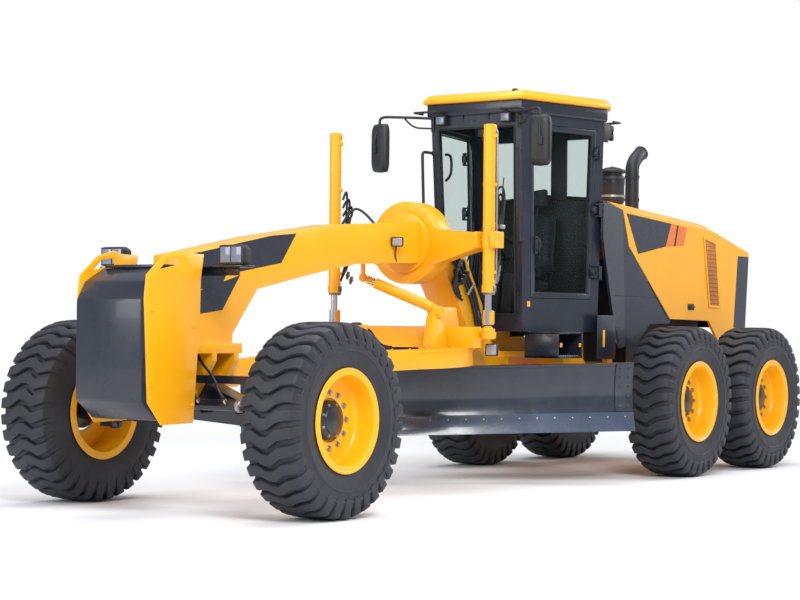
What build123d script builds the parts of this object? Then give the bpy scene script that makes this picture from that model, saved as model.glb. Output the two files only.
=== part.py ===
"""Motor grader: rear frame with cab and tilting hood, hinged gooseneck front frame,
leaning and steering front wheels, tandem rear wheels, drawbar, circle and moldboard.

Millimetres, +X forward, +Y left, +Z up.  Heights are measured from the ground and
stations are measured forward from the tandem centre.
"""
from build123d import *
from math import atan, cos, degrees, radians, sin, tan
import os

os.makedirs("parts", exist_ok=True)

# ---------------------------------------------------------------- driving sizes
WHEELBASE = 6120.0
NOSE_OVERHANG = 950.0          # foremost face ahead of the front axle
FRONT_AXLE = WHEELBASE
NOSE_FRONT = FRONT_AXLE + NOSE_OVERHANG
TAIL_REAR = -1870.0            # station of the rearmost face
TANDEM_X = -(NOSE_FRONT + TAIL_REAR) / 2     # tandem centre in the model's frame

TANDEM_SPREAD = 1540.0         # between the two wheels of one tandem
TYRE_OD = 1340.0
TYRE_WIDTH = 445.0
RIM_SEAT_R = 317.5             # 25 inch bead seat
RIM_FLANGE_R = 360.0
RIM_WALL = 14.0
HUB_R = 150.0
TRACK_FRONT = 2220.0
TRACK_REAR = 2155.0
FIT = 0.05                     # radial clearance of a running fit
SEAT = 0.3                     # gap between pieces that seat on each other
AXLE_Z = TYRE_OD / 2

TANDEM_INNER_Y = 580.0         # inner and outer faces of the chain case
TANDEM_OUTER_Y = 800.0
TANDEM_CASE_R = 215.0
TANDEM_PIN_R = 110.0
SPINDLE_R = 70.0

BEAM_HALF = 150.0              # half width of the gooseneck
HITCH_X = 2150.0               # articulation axis
HITCH_PIN_R = 45.0
HITCH_BOSS_R = 110.0
RAIL_TOP = 1000.0              # top of the rear frame's rails
RAIL_BOTTOM = 780.0
RAIL_Y = 330.0                 # inner face of a rail
RAIL_WALL = 110.0

DRAWBAR_PIN_X = FRONT_AXLE - 270.0
DRAWBAR_PIN_Z = 950.0
DRAWBAR_PIN_R = 45.0
LIFT_X = DRAWBAR_PIN_X - 2350.0      # lift cylinders
SADDLE_X = LIFT_X - 30.0             # lifter bracket on the gooseneck
SADDLE_Z = 1996.0
SADDLE_R = 335.0
SADDLE_LENGTH = 190.0
JOURNAL_R = 245.0

LIFT_Y = 765.0
TRUNNION_Z = 2010.0
TRUNNION_R = 22.0
BARREL_R = 48.0
BARREL_TOP = 2930.0
BARREL_BOTTOM = 1590.0
ROD_R = 27.0
BALL_Z = 1283.0
BALL_R = 46.0

DRAWBAR_SLOPE = degrees(atan(0.04))   # the drawbar rises to the rear when lifted
SHIFT_BASE = (LIFT_X + 480.0, -120.0, 1700.0)    # centre shift cylinder's ball under the gooseneck
SHIFT_BALL_R = 34.0
SHIFT_BALL = (LIFT_X + 260.0, 420.0, 1460.0)     # its ball on the drawbar
CIRCLE_BACK = 2151.7           # from the drawbar's pin to the circle's centre
GUARD_R = 650.0
GUARD_DEPTH = 148.0
GUARD_DROP = 41.0              # guard's lower edge below the drawbar's pin
CIRCLE_R = 618.0
CIRCLE_WIDTH = 90.0

BLADE_HEADING = 50.0           # turn of the blade from straight ahead
BLADE_LENGTH = 3300.0
BLADE_HEIGHT = 570.0
BLADE_ARC_R = 470.0
BLADE_WALL = 20.0
BLADE_BACK = 428.0             # blade's edge behind the circle's centre
BLADE_LEFT = 2057.0            # left end from the circle's centre, along the blade
BLADE_DROP = 605.0             # cutting edge below the guard's lower edge
EDGE_HEIGHT = 150.0
EDGE_WALL = 16.0
RAIL_H = 60.0

CAB_FLOOR = 1280.0
CAB_TOP = 3150.0
CAB_WALL = 45.0
CAB_FRONT_LOW = 2420.0
CAB_FRONT_HIGH = 2520.0
CAB_REAR_CORNER = 1500.0
CAB_BACK = 1360.0
CAB_FRONT_HALF_LOW = 425.0
CAB_FRONT_HALF_HIGH = 460.0
CAB_REAR_HALF_LOW = 635.0
CAB_REAR_HALF_HIGH = 693.0
DOOR_GAP = 4.0

HOOD_WALL = 25.0

# ---------------------------------------------------------------- working planes
GROUND = Plane(origin=(TANDEM_X, 0, 0))
DRAWBAR = Plane(
    origin=(TANDEM_X + DRAWBAR_PIN_X, 0, DRAWBAR_PIN_Z),
    x_dir=(cos(radians(DRAWBAR_SLOPE)), 0, -sin(radians(DRAWBAR_SLOPE))),
    z_dir=(sin(radians(DRAWBAR_SLOPE)), 0, cos(radians(DRAWBAR_SLOPE))),
)
CIRCLE_ORIGIN = DRAWBAR.from_local_coords((-CIRCLE_BACK, 0, -GUARD_DROP))
RING = Plane(origin=CIRCLE_ORIGIN, x_dir=DRAWBAR.x_dir, z_dir=DRAWBAR.z_dir)


def in_plane(base, origin, x_dir, z_dir):
    """Plane given in another plane's own coordinates."""
    zero = base.from_local_coords((0, 0, 0))
    return Plane(
        origin=base.from_local_coords(origin),
        x_dir=base.from_local_coords(x_dir) - zero,
        z_dir=base.from_local_coords(z_dir) - zero,
    )


# X runs along the blade to its right end and Y forward
BLADE = in_plane(
    RING,
    (0, 0, 0),
    (cos(radians(BLADE_HEADING)), -sin(radians(BLADE_HEADING)), 0),
    (0, 0, 1),
)


def side_plane(y):
    """Upright fore-and-aft plane at y: local x is the station, local y the height."""
    return Plane(origin=(TANDEM_X, y, 0), x_dir=(1, 0, 0), z_dir=(0, -1, 0))


def cross_plane(x):
    """Upright cross plane at a station: local x points left, local y up."""
    return Plane(origin=(TANDEM_X + x, 0, 0), x_dir=(0, 1, 0), z_dir=(1, 0, 0))


SIDES = (("left", 1), ("right", -1))

# ---------------------------------------------------------------- wheels
# Half section of the tyre: radius, distance from the wheel's centre plane
TYRE_R = TYRE_OD / 2
HALF_W = TYRE_WIDTH / 2
BEAD_R = RIM_SEAT_R + SEAT
TYRE_SECTION = [
    (BEAD_R, HALF_W - 42),
    (RIM_FLANGE_R + 22, HALF_W - 24),
    (RIM_FLANGE_R + 95, HALF_W),
    (TYRE_R - 125, HALF_W - 3),
    (TYRE_R - 48, HALF_W - 26),
    (TYRE_R - 12, HALF_W - 62),
    (TYRE_R, HALF_W - 105),
]
# Rim: the disc sits near the outboard flange and the hub stands out from it
RIM_HALF = HALF_W - 20
DISC_IN = 20.0                 # disc's inboard and outboard faces, outward from the centre
DISC_OUT = 44.0
HUB_IN = -60.0
HUB_OUT = 120.0

WHEELS = []                    # name, station, centre y, outward side
for side, s in SIDES:
    WHEELS.append((f"front_{side}", FRONT_AXLE, s * TRACK_FRONT / 2, s))
    WHEELS.append((f"middle_{side}", TANDEM_SPREAD / 2, s * TRACK_REAR / 2, s))
    WHEELS.append((f"rear_{side}", -TANDEM_SPREAD / 2, s * TRACK_REAR / 2, s))

for name, x, y, s in WHEELS:
    # local x is the radius and local y the distance outward
    section = Plane(origin=(TANDEM_X + x, y, AXLE_Z), x_dir=(1, 0, 0), z_dir=(0, 0, s))
    with BuildPart() as tyre:
        with BuildSketch(section):
            with BuildLine():
                outboard = [(r, w) for r, w in TYRE_SECTION]
                inboard = [(r, -w) for r, w in reversed(TYRE_SECTION)]
                Polyline(*outboard, *inboard, close=True)
            make_face()
        revolve(axis=Axis(section.origin, (0, 1, 0)))
    tyre.part.label = f"tyre_{name}"
    export_step(tyre.part, f"parts/tyre_{name}.step")

    with BuildPart() as rim:
        with BuildSketch(section):
            with BuildLine():
                Polyline(
                    (RIM_SEAT_R - RIM_WALL, -RIM_HALF - 6),
                    (RIM_FLANGE_R, -RIM_HALF - 6),
                    (RIM_FLANGE_R, -RIM_HALF + 6),
                    (RIM_SEAT_R, -RIM_HALF + 16),
                    (RIM_SEAT_R, RIM_HALF - 16),
                    (RIM_FLANGE_R, RIM_HALF - 6),
                    (RIM_FLANGE_R, RIM_HALF + 6),
                    (RIM_SEAT_R - RIM_WALL, RIM_HALF + 6),
                    (RIM_SEAT_R - RIM_WALL, DISC_OUT),
                    (HUB_R, DISC_OUT),
                    (HUB_R - 15, HUB_OUT),
                    (0, HUB_OUT),
                    (0, HUB_OUT - 30),
                    (SPINDLE_R + FIT, HUB_OUT - 30),
                    (SPINDLE_R + FIT, HUB_IN),
                    (HUB_R, HUB_IN),
                    (HUB_R, DISC_IN),
                    (RIM_SEAT_R - RIM_WALL, DISC_IN),
                    close=True,
                )
            make_face()
        revolve(axis=Axis(section.origin, (0, 1, 0)))
    rim.part.label = f"rim_{name}"
    export_step(rim.part, f"parts/rim_{name}.step")

# ---------------------------------------------------------------- rear frame
AXLE_TUBE_R = 150.0
PIVOT_TUBE_END = TANDEM_OUTER_Y - 20.0
REAR_FRAME_FRONT = 1500.0
REAR_FRAME_BACK = -1760.0
TOW_HOLE_R = 20.0
TOW_HOLE_X = TAIL_REAR + 34.0
TAIL_HOLE_R = 11.0
TAIL_HOLE_SPACING = 300.0
HOOD_HINGE_X = -1745.0             # hood's hinge at its rear foot
HOOD_HINGE_Z = 1240.0
HOOD_PIN_R = 14.0
HOOD_EAR_Y = 300.0
HOOD_EAR_T = 30.0
COWL_BRACKET_X = 900.0
HITCH_UPPER = (1060.0, 1110.0)     # rear frame's upper ear, bottom and top
HITCH_LOWER = (850.0, 900.0)
with BuildPart(GROUND) as rear_frame:
    for _, s in SIDES:
        with BuildSketch(side_plane(s * (RAIL_Y + RAIL_WALL / 2))):
            with BuildLine():
                Polyline(
                    (REAR_FRAME_BACK, RAIL_BOTTOM + 60),
                    (REAR_FRAME_FRONT + 150, RAIL_BOTTOM),
                    (REAR_FRAME_FRONT + 250, RAIL_BOTTOM + 60),
                    (REAR_FRAME_FRONT + 250, CAB_FLOOR - 60),
                    (REAR_FRAME_FRONT + 120, CAB_FLOOR - 60),
                    (REAR_FRAME_FRONT - 150, RAIL_TOP),
                    (REAR_FRAME_BACK, RAIL_TOP),
                    close=True,
                )
            make_face()
        extrude(amount=RAIL_WALL / 2, both=True)
        # plate between a rail and the axle tube
        with BuildSketch(side_plane(s * (RAIL_Y + RAIL_WALL / 2))):
            with BuildLine():
                Polyline((-260, RAIL_BOTTOM + 60), (260, RAIL_BOTTOM + 60), (150, AXLE_Z), (-150, AXLE_Z),
                         close=True)
            make_face()
        extrude(amount=40, both=True)
        # tandem pivot
        with Locations((0, s * (PIVOT_TUBE_END + AXLE_TUBE_R) / 2, AXLE_Z)):
            Cylinder(TANDEM_PIN_R, PIVOT_TUBE_END - AXLE_TUBE_R, rotation=(90, 0, 0))
    # axle tube with its differential housing
    with Locations((0, 0, AXLE_Z)):
        Cylinder(AXLE_TUBE_R, 2 * (TANDEM_INNER_Y - SEAT), rotation=(90, 0, 0))
        Cylinder(250, 300, rotation=(90, 0, 0))
    # rear cross member, middle cross members and front cross plate
    CROSS_MEMBERS = (           # centre station, length, bottom, top
        (REAR_FRAME_BACK - 20, 60.0, RAIL_BOTTOM, 1180.0),
        (-900.0, 120.0, RAIL_BOTTOM + 60, RAIL_TOP),
        (250.0, 120.0, RAIL_BOTTOM + 60, RAIL_TOP),
        (900.0, 120.0, RAIL_BOTTOM + 20, RAIL_TOP),
        (REAR_FRAME_FRONT + 215, 70.0, RAIL_BOTTOM + 60, CAB_FLOOR - 60),
    )
    for x, length, bottom, top in CROSS_MEMBERS:
        with Locations((x, 0, (bottom + top) / 2)):
            Box(length, 2 * (RAIL_Y + RAIL_WALL), top - bottom)
    # hitch ears run forward to the articulation pin
    for bottom, top in (HITCH_UPPER, HITCH_LOWER):
        with BuildSketch(GROUND.offset(bottom)):
            with BuildLine():
                Polyline((REAR_FRAME_FRONT + 200, -280), (HITCH_X, -HITCH_BOSS_R), (HITCH_X, HITCH_BOSS_R),
                         (REAR_FRAME_FRONT + 200, 280), close=True)
            make_face()
            with Locations((HITCH_X, 0)):
                Circle(HITCH_BOSS_R)
        extrude(amount=top - bottom)
    # articulation pin, fixed in both ears
    with Locations((HITCH_X, 0, (HITCH_LOWER[0] + HITCH_UPPER[1]) / 2)):
        Cylinder(HITCH_PIN_R, HITCH_UPPER[1] - HITCH_LOWER[0] + 40)
    # tow eye at the rear, with a row of tapped holes beside it
    with Locations((TAIL_REAR + 60, 0, 900)):
        Box(120, 160, 40)
    with Locations((TOW_HOLE_X, 0, 900)):
        Cylinder(TOW_HOLE_R, 40, mode=Mode.SUBTRACT)
    with Locations((REAR_FRAME_BACK - 50 + 20, 0, 1060)):
        with GridLocations(0, TAIL_HOLE_SPACING, 1, 2):
            with Locations((0, 0, -60), (0, 0, 60)):
                Cylinder(TAIL_HOLE_R, 40, rotation=(0, 90, 0), mode=Mode.SUBTRACT)
    for _, s in SIDES:
        # cab mounts
        for x, foot in ((1420, 1030), (1690, 1200)):
            with Locations((x, s * (RAIL_Y + RAIL_WALL / 2), (foot + CAB_FLOOR) / 2)):
                Box(80, 90, CAB_FLOOR - foot)
        # hood hinge: an ear and a pin each side
        with BuildSketch(side_plane(s * (HOOD_EAR_Y + HOOD_EAR_T / 2))):
            with Locations((HOOD_HINGE_X, HOOD_HINGE_Z)):
                Circle(28)
            with BuildLine():
                Polyline((HOOD_HINGE_X - 45, 1170), (HOOD_HINGE_X - 5, 1170), (HOOD_HINGE_X + 26, HOOD_HINGE_Z),
                         (HOOD_HINGE_X - 26, HOOD_HINGE_Z), close=True)
            make_face()
        extrude(amount=HOOD_EAR_T / 2, both=True)
        with Locations((HOOD_HINGE_X, s * (HOOD_EAR_Y + HOOD_EAR_T), HOOD_HINGE_Z)):
            Cylinder(HOOD_PIN_R, 2 * HOOD_EAR_T + 10, rotation=(90, 0, 0))
        # post of the cowl's bracket
        with Locations((COWL_BRACKET_X, s * (RAIL_Y + RAIL_WALL - 30), 1100)):
            Box(80, 60, 260)

# ---------------------------------------------------------------- engine
ENGINE_LENGTH = 1500.0
ENGINE_HALF = 330.0
with BuildPart(GROUND) as engine_block:
    with Locations((-350, 0, RAIL_TOP + 480)):
        Box(ENGINE_LENGTH, 2 * ENGINE_HALF, 960)
engine_block.part.label = "engine_block"
export_step(engine_block.part, "parts/engine_block.step")

# ---------------------------------------------------------------- tandem cases
TANDEM_CASES = {}
for side, s in SIDES:
    with BuildPart(GROUND) as tandem:
        with BuildSketch(side_plane(s * (TANDEM_INNER_Y + TANDEM_OUTER_Y) / 2)):
            with Locations((0, AXLE_Z)):
                SlotCenterToCenter(TANDEM_SPREAD, 2 * TANDEM_CASE_R)
        extrude(amount=(TANDEM_OUTER_Y - TANDEM_INNER_Y) / 2, both=True)
        for x in (-TANDEM_SPREAD / 2, TANDEM_SPREAD / 2):
            spindle_end = TRACK_REAR / 2 + HUB_OUT - 30 - SEAT
            with Locations((x, s * (spindle_end + TANDEM_OUTER_Y - 10) / 2, AXLE_Z)):
                Cylinder(SPINDLE_R, spindle_end - TANDEM_OUTER_Y + 10, rotation=(90, 0, 0))
        # pivot bore, closed by the case's outer cover
        with Locations((0, s * (TANDEM_INNER_Y + PIVOT_TUBE_END + SEAT) / 2, AXLE_Z)):
            Cylinder(TANDEM_PIN_R + FIT, PIVOT_TUBE_END + SEAT - TANDEM_INNER_Y, rotation=(90, 0, 0),
                     mode=Mode.SUBTRACT)
    tandem.part.label = f"tandem_{side}"
    export_step(tandem.part, f"parts/tandem_{side}.step")

# ---------------------------------------------------------------- hood and cowl
# sections: station, half width at the foot, shoulder height, half width at the shoulder, crown height
BODY_SECTIONS = (
    (1560.0, 722.0, 2430.0, 718.0, 2520.0),
    (1000.0, 650.0, 2385.0, 615.0, 2520.0),
    (-1000.0, 595.0, 2270.0, 560.0, 2400.0),
    (-1900.0, 560.0, 2090.0, 520.0, 2210.0),
)
BODY_FOOT = 1100.0


def body_loft(inset, drop):
    """Solid hood body, shrunk by inset and with its foot lowered by drop."""
    with BuildPart() as solid:
        for x, half, shoulder, half_top, crown in BODY_SECTIONS:
            with BuildSketch(cross_plane(x)):
                with BuildLine():
                    flank = Line((half - inset, BODY_FOOT - drop), (half_top - inset, shoulder - inset))
                    roof = Line((half_top * 0.72, crown - 0.35 * (crown - shoulder) - inset), (0, crown - inset))
                    Line(flank @ 1, roof @ 0)
                    Line(roof @ 1, (0, BODY_FOOT - drop))
                    Line((0, BODY_FOOT - drop), flank @ 0)
                make_face()
                mirror(about=Plane.YZ)
        loft(ruled=True)
    return solid.part


BODY_SHELL = body_loft(0, 0) - body_loft(HOOD_WALL, 50)

SPLIT = 4.0                    # half the gap between hood and cowl
HOOD_OUTLINE = [
    (1000 - SPLIT, 2700), (1000 - SPLIT, 2385), (890 - SPLIT, 2060), (60, 1407 + SPLIT), (-810, 1400), (-1030, 1188),
    (-1700, 1337), (TAIL_REAR + 10, 2120), (TAIL_REAR + 20, 2700),
]
# the cowl's bracket reaches out to the inside of its flank
BRACKET_REACH = 2 * 700.0
with BuildPart() as cowl_bracket:
    with Locations((TANDEM_X + COWL_BRACKET_X, 0, 1205)):
        Box(80, BRACKET_REACH, 50)
        Box(80, 2 * (RAIL_Y + 50), 50, mode=Mode.SUBTRACT)
rear_frame.part += cowl_bracket.part & body_loft(HOOD_WALL + SEAT, 50)
rear_frame.part.label = "rear_frame"
export_step(rear_frame.part, "parts/rear_frame.step")
COWL_OUTLINE = [
    (1000 + SPLIT, 2700), (1000 + SPLIT, 2385), (890 + SPLIT, 2060), (60 + SPLIT, 1407 - SPLIT), (60 + SPLIT, 1370),
    (490, 1360), (780, 1170), (1120, 1140), (1310, 1483), (1540, 2100), (1540, 2700),
]
GRILLE_OUTLINE = [(-1400, 1345), (-1500, 1300), (-1640, 1325), (-1900, 1345), (-1900, 2060), (-1560, 2060)]


def side_prism(outline):
    """Solid as wide as the machine with the given outline in side view."""
    with BuildPart() as prism:
        with BuildSketch(side_plane(0)):
            with BuildLine():
                Polyline(*outline, close=True)
            make_face()
        extrude(amount=900, both=True)
    return prism.part


HOOD_LUG_T = 24.0
HOOD_LUG = [(-26, -5), (26, -5), (70, 90), (70, 170), (36, 170), (4, 60)]   # from the hinge, forward and up

# the hood closes at its rear with a sloping wall
REAR_SLOPE = [(-1700, 1337), (TAIL_REAR + 10, 2120), (TAIL_REAR + 20, 2700)]
HOOD_REAR_OUTLINE = REAR_SLOPE + [(x + HOOD_WALL, z) for x, z in reversed(REAR_SLOPE)]
HOOD_SKIN = BODY_SHELL + (body_loft(1, 0) & side_prism(HOOD_REAR_OUTLINE))

PIPE_R = 60.0
PIPE_X = -160.0
PIPE_Y = 80.0
CLEANER_X = 200.0
CLEANER_Y = 60.0
CLEANER_R = 110.0
with BuildPart() as hood:
    add(HOOD_SKIN & side_prism(HOOD_OUTLINE))
    add(side_prism(GRILLE_OUTLINE), mode=Mode.SUBTRACT)
hood.part.label = "hood"
export_step(hood.part, "parts/hood.step")

with BuildPart() as rear_grille:
    add(HOOD_SKIN & side_prism(HOOD_OUTLINE) & side_prism(GRILLE_OUTLINE))
    # hinge lugs run down from the rear wall
    for _, s in SIDES:
        with BuildSketch(side_plane(s * (HOOD_EAR_Y + HOOD_EAR_T + 5 + HOOD_LUG_T / 2))):
            with BuildLine():
                Polyline(*[(HOOD_HINGE_X + x, HOOD_HINGE_Z + z) for x, z in HOOD_LUG], close=True)
            make_face()
            with Locations((HOOD_HINGE_X, HOOD_HINGE_Z)):
                Circle(28)
                Circle(HOOD_PIN_R + FIT, mode=Mode.SUBTRACT)
        extrude(amount=HOOD_LUG_T / 2, both=True)
rear_grille.part.label = "rear_grille"
export_step(rear_grille.part, "parts/rear_grille.step")


# exhaust pipe with its elbow, and the air cleaner's bowl, both standing on the hood
PIPE_FOOT = 2440.0
PIPE_BEND = 2860.0
PIPE_TURN = 130.0
PIPE_TIP = 60.0
CLEANER_FOOT = 2440.0
CLEANER_TOP = 2870.0
with BuildPart() as stacks:
    with BuildLine() as pipe_path:
        FilletPolyline(
            (TANDEM_X + PIPE_X, PIPE_Y, PIPE_FOOT),
            (TANDEM_X + PIPE_X, PIPE_Y, PIPE_BEND + 90),
            (TANDEM_X + PIPE_X - 190, PIPE_Y, PIPE_BEND + 190),
            radius=PIPE_TURN,
        )
    with BuildSketch(Plane(origin=pipe_path.line @ 0, z_dir=pipe_path.line % 0)):
        Circle(PIPE_R)
        Circle(PIPE_R - 6, mode=Mode.SUBTRACT)
    sweep(path=pipe_path.line)
    with BuildSketch(GROUND.offset(CLEANER_FOOT)):
        with Locations((CLEANER_X, CLEANER_Y)):
            Circle(55)
    extrude(amount=90)
    with BuildSketch(GROUND.offset(CLEANER_FOOT + 90)):
        with Locations((CLEANER_X, CLEANER_Y)):
            Circle(CLEANER_R)
    extrude(amount=CLEANER_TOP - CLEANER_FOOT - 150)
    with BuildSketch(GROUND.offset(CLEANER_TOP - 60)):
        with Locations((CLEANER_X, CLEANER_Y)):
            Circle(CLEANER_R + 22)
    extrude(amount=60)
    # both feet stop at the hood's roof
    add(body_loft(-SEAT, 0), mode=Mode.SUBTRACT)
stacks.part.label = "stacks"
export_step(stacks.part, "parts/stacks.step")

# ---------------------------------------------------------------- cab
# outline in plan at the sill and at the eaves: station, half width
CAB_LOW = (
    (CAB_FRONT_LOW, CAB_FRONT_HALF_LOW),
    (CAB_REAR_CORNER, CAB_REAR_HALF_LOW),
    (CAB_BACK, CAB_REAR_HALF_LOW - 75),
)
CAB_HIGH = (
    (CAB_FRONT_HIGH, CAB_FRONT_HALF_HIGH),
    (CAB_REAR_CORNER, CAB_REAR_HALF_HIGH),
    (CAB_BACK, CAB_REAR_HALF_HIGH - 93),
)


def cab_loft(inset, bottom, top):
    """Solid cab between two heights, its walls moved in by inset."""
    with BuildPart() as solid:
        for outline, z in ((CAB_LOW, CAB_FLOOR), (CAB_HIGH, CAB_TOP)):
            with BuildSketch(GROUND.offset(z)):
                with BuildLine():
                    points = [(x, y) for x, y in outline]
                    Polyline(*points, *[(x, -y) for x, y in reversed(points)], close=True)
                make_face()
                if inset:
                    offset(amount=-inset, kind=Kind.INTERSECTION, mode=Mode.REPLACE)
        loft(ruled=True)
    with BuildPart() as band:
        with BuildSketch(GROUND.offset(bottom)):
            with Locations((CAB_REAR_CORNER, 0)):
                Rectangle(3000, 2000)
        extrude(amount=top - bottom)
    return solid.part & band.part


CAB_WALLS = cab_loft(0, CAB_FLOOR, CAB_TOP) - cab_loft(CAB_WALL, CAB_FLOOR + CAB_WALL, CAB_TOP - 2)
# door opening, door glass and side lights in side view
DOOR_FRONT_LOW = 2330.0
DOOR_FRONT_HIGH = 2415.0
DOOR_REAR = 1600.0
DOOR_SILL = 1570.0
DOOR_HEAD = 3050.0
DOOR_OUTLINE = [
    (DOOR_REAR, DOOR_SILL), (DOOR_FRONT_LOW, DOOR_SILL), (DOOR_FRONT_HIGH, DOOR_HEAD), (DOOR_REAR, DOOR_HEAD),
]
FRAME_W = 70.0                 # width of a door's frame round its glass
GLASS_REBATE = 12.0            # how far a pane reaches behind its frame
GLASS_T = 6.0


def shrink(outline, amount):
    """Side prism of an outline moved in (or out, when negative) by amount."""
    with BuildPart() as prism:
        with BuildSketch(side_plane(0)):
            with BuildLine():
                Polyline(*outline, close=True)
            make_face()
            offset(amount=-amount, kind=Kind.INTERSECTION, mode=Mode.REPLACE)
        extrude(amount=1000, both=True)
    return prism.part


def half_space(s):
    """Everything on one side of the machine's centre plane."""
    with BuildPart() as block:
        with Locations((TANDEM_X + 2000, s * 1000, 2200)):
            Box(3000, 2000 - 200, 3000)
    return block.part


# panes through the front and rear walls: name, half width low, half width high, bottom, top
FRONT_PANE = (360.0, 390.0, 1420.0, 3030.0)
REAR_PANE = (470.0, 500.0, 1950.0, 3000.0)


def cross_prism(pane, margin, x0, x1):
    """Prism along the machine with a pane's outline in front view."""
    low, high, bottom, top = pane
    with BuildPart() as prism:
        with BuildSketch(cross_plane(x0)):
            with BuildLine():
                Polyline((-low, bottom), (low, bottom), (high, top), (-high, top), close=True)
            make_face()
            if margin:
                offset(amount=margin, kind=Kind.INTERSECTION, mode=Mode.REPLACE)
        extrude(amount=x1 - x0)
    return prism.part


# doors hang on upright pins along the rear pillars
HINGE_X = DOOR_REAR - 4.0
HINGE_Y = 712.0
HINGE_PIN_R = 9.0
HINGE_R = 17.0
HINGE_HEIGHTS = (1800.0, 2350.0, 2850.0)
HINGE_LENGTH = 90.0            # the door's knuckle
HINGE_EAR = 14.0               # each of the pillar's ears


def wall_y(x, z):
    """Outer face of the cab's side at a station and height."""
    slope = (CAB_REAR_HALF_LOW - CAB_FRONT_HALF_LOW) / (CAB_FRONT_LOW - CAB_REAR_CORNER)
    lean = (CAB_REAR_HALF_HIGH - CAB_REAR_HALF_LOW) / (CAB_TOP - CAB_FLOOR)
    return CAB_REAR_HALF_LOW + lean * (z - CAB_FLOOR) - slope * (x - CAB_REAR_CORNER)


with BuildPart() as cab_shell:
    add(CAB_WALLS)
    add(shrink(DOOR_OUTLINE, -DOOR_GAP), mode=Mode.SUBTRACT)
    add(cross_prism(FRONT_PANE, 0, 2250, 2700), mode=Mode.SUBTRACT)
    add(cross_prism(REAR_PANE, 0, 1300, 1460), mode=Mode.SUBTRACT)
    for _, s in SIDES:
        for z in HINGE_HEIGHTS:
            face = wall_y(HINGE_X, z) - 15
            with Locations((TANDEM_X + HINGE_X, s * HINGE_Y, z)):
                Cylinder(HINGE_PIN_R, HINGE_LENGTH + 2 * HINGE_EAR)
            for end in (-1, 1):
                ear_z = z + end * (HINGE_LENGTH / 2 + HINGE_EAR / 2 + SEAT)
                with Locations((TANDEM_X + HINGE_X, s * HINGE_Y, ear_z)):
                    Cylinder(HINGE_R, HINGE_EAR)
                with Locations((TANDEM_X + HINGE_X - 24, s * (face + HINGE_Y) / 2, ear_z)):
                    Box(36, HINGE_Y - face, HINGE_EAR)
cab_shell.part.label = "cab_shell"
export_step(cab_shell.part, "parts/cab_shell.step")

# fixed panes sit in the middle of the wall
PANE_IN = CAB_WALL / 2
PANE_SKIN = cab_loft(PANE_IN, CAB_FLOOR + 10, CAB_TOP - 10) - cab_loft(PANE_IN + GLASS_T, CAB_FLOOR, CAB_TOP)
with BuildPart() as cab_glass:
    add(PANE_SKIN & cross_prism(FRONT_PANE, -SEAT, 2250, 2700))
    add(PANE_SKIN & cross_prism(REAR_PANE, -SEAT, 1300, 1460))
cab_glass.part.label = "cab_glass"
export_step(cab_glass.part, "parts/cab_glass.step")

for side, s in SIDES:
    with BuildPart() as door:
        add(CAB_WALLS & shrink(DOOR_OUTLINE, 0) & half_space(s))
        add(shrink(DOOR_OUTLINE, FRAME_W), mode=Mode.SUBTRACT)
        for z in HINGE_HEIGHTS:
            face = wall_y(DOOR_REAR, z) - 15
            with Locations((TANDEM_X + DOOR_REAR + 26, s * (face + HINGE_Y) / 2, z)):
                Box(50, HINGE_Y - face, HINGE_LENGTH - 30)
            with Locations((TANDEM_X + HINGE_X, s * HINGE_Y, z)):
                Cylinder(HINGE_R, HINGE_LENGTH)
                Cylinder(HINGE_PIN_R + FIT, HINGE_LENGTH, mode=Mode.SUBTRACT)
    door.part.label = f"door_{side}"
    export_step(door.part, f"parts/door_{side}.step")
    with BuildPart() as pane:
        add(PANE_SKIN & shrink(DOOR_OUTLINE, FRAME_W + SEAT) & half_space(s))
    pane.part.label = f"door_glass_{side}"
    export_step(pane.part, f"parts/door_glass_{side}.step")

# roof cap
ROOF_H = 180.0
with BuildPart() as cab_roof:
    with BuildSketch(GROUND.offset(CAB_TOP)):
        with BuildLine():
            points = [(x + 40, y + 15) for x, y in CAB_HIGH[:1]] + [(x - 30, y) for x, y in CAB_HIGH[1:]]
            Polyline(*points, *[(x, -y) for x, y in reversed(points)], close=True)
        make_face()
    extrude(amount=ROOF_H, taper=8)
cab_roof.part.label = "cab_roof"
export_step(cab_roof.part, "parts/cab_roof.step")

# seat and steering console stand on the floor
SEAT_X = 1800.0
with BuildPart(GROUND) as operator_seat:
    floor = CAB_FLOOR + CAB_WALL
    with Locations((SEAT_X, 0, floor + 150)):
        Box(300, 300, 300)
    with Locations((SEAT_X + 20, 0, floor + 360)):
        Box(500, 480, 120)
    with BuildSketch(side_plane(0)):
        with BuildLine():
            Polyline((SEAT_X - 230, floor + 380), (SEAT_X - 110, floor + 400), (SEAT_X - 200, floor + 1080),
                     (SEAT_X - 300, floor + 1080), close=True)
        make_face()
    extrude(amount=225, both=True)
operator_seat.part.label = "operator_seat"
export_step(operator_seat.part, "parts/operator_seat.step")

with BuildPart(GROUND) as console:
    with BuildSketch(side_plane(0)):
        with BuildLine():
            Polyline((2290, floor), (2350, floor), (2260, floor + 560), (2200, floor + 560), close=True)
        make_face()
    extrude(amount=110, both=True)
    with Locations(Location((2210, 0, floor + 625), (0, -35, 0))):
        Cylinder(24, 210)
    with Locations(Location((2155, 0, floor + 700), (0, -35, 0))):
        Cylinder(200, 26)
        Cylinder(168, 30, mode=Mode.SUBTRACT)
        Cylinder(36, 40)
        Box(390, 26, 14)
console.part.label = "console"
export_step(console.part, "parts/console.step")

# the cowl closes the gap behind the cab
COWL_CLEARANCE = 6.0
with BuildPart() as cowl:
    add(BODY_SHELL & side_prism(COWL_OUTLINE))
    add(cab_loft(-COWL_CLEARANCE, CAB_FLOOR - 20, CAB_TOP), mode=Mode.SUBTRACT)
cowl.part.label = "cowl"
export_step(cowl.part, "parts/cowl.step")

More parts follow.
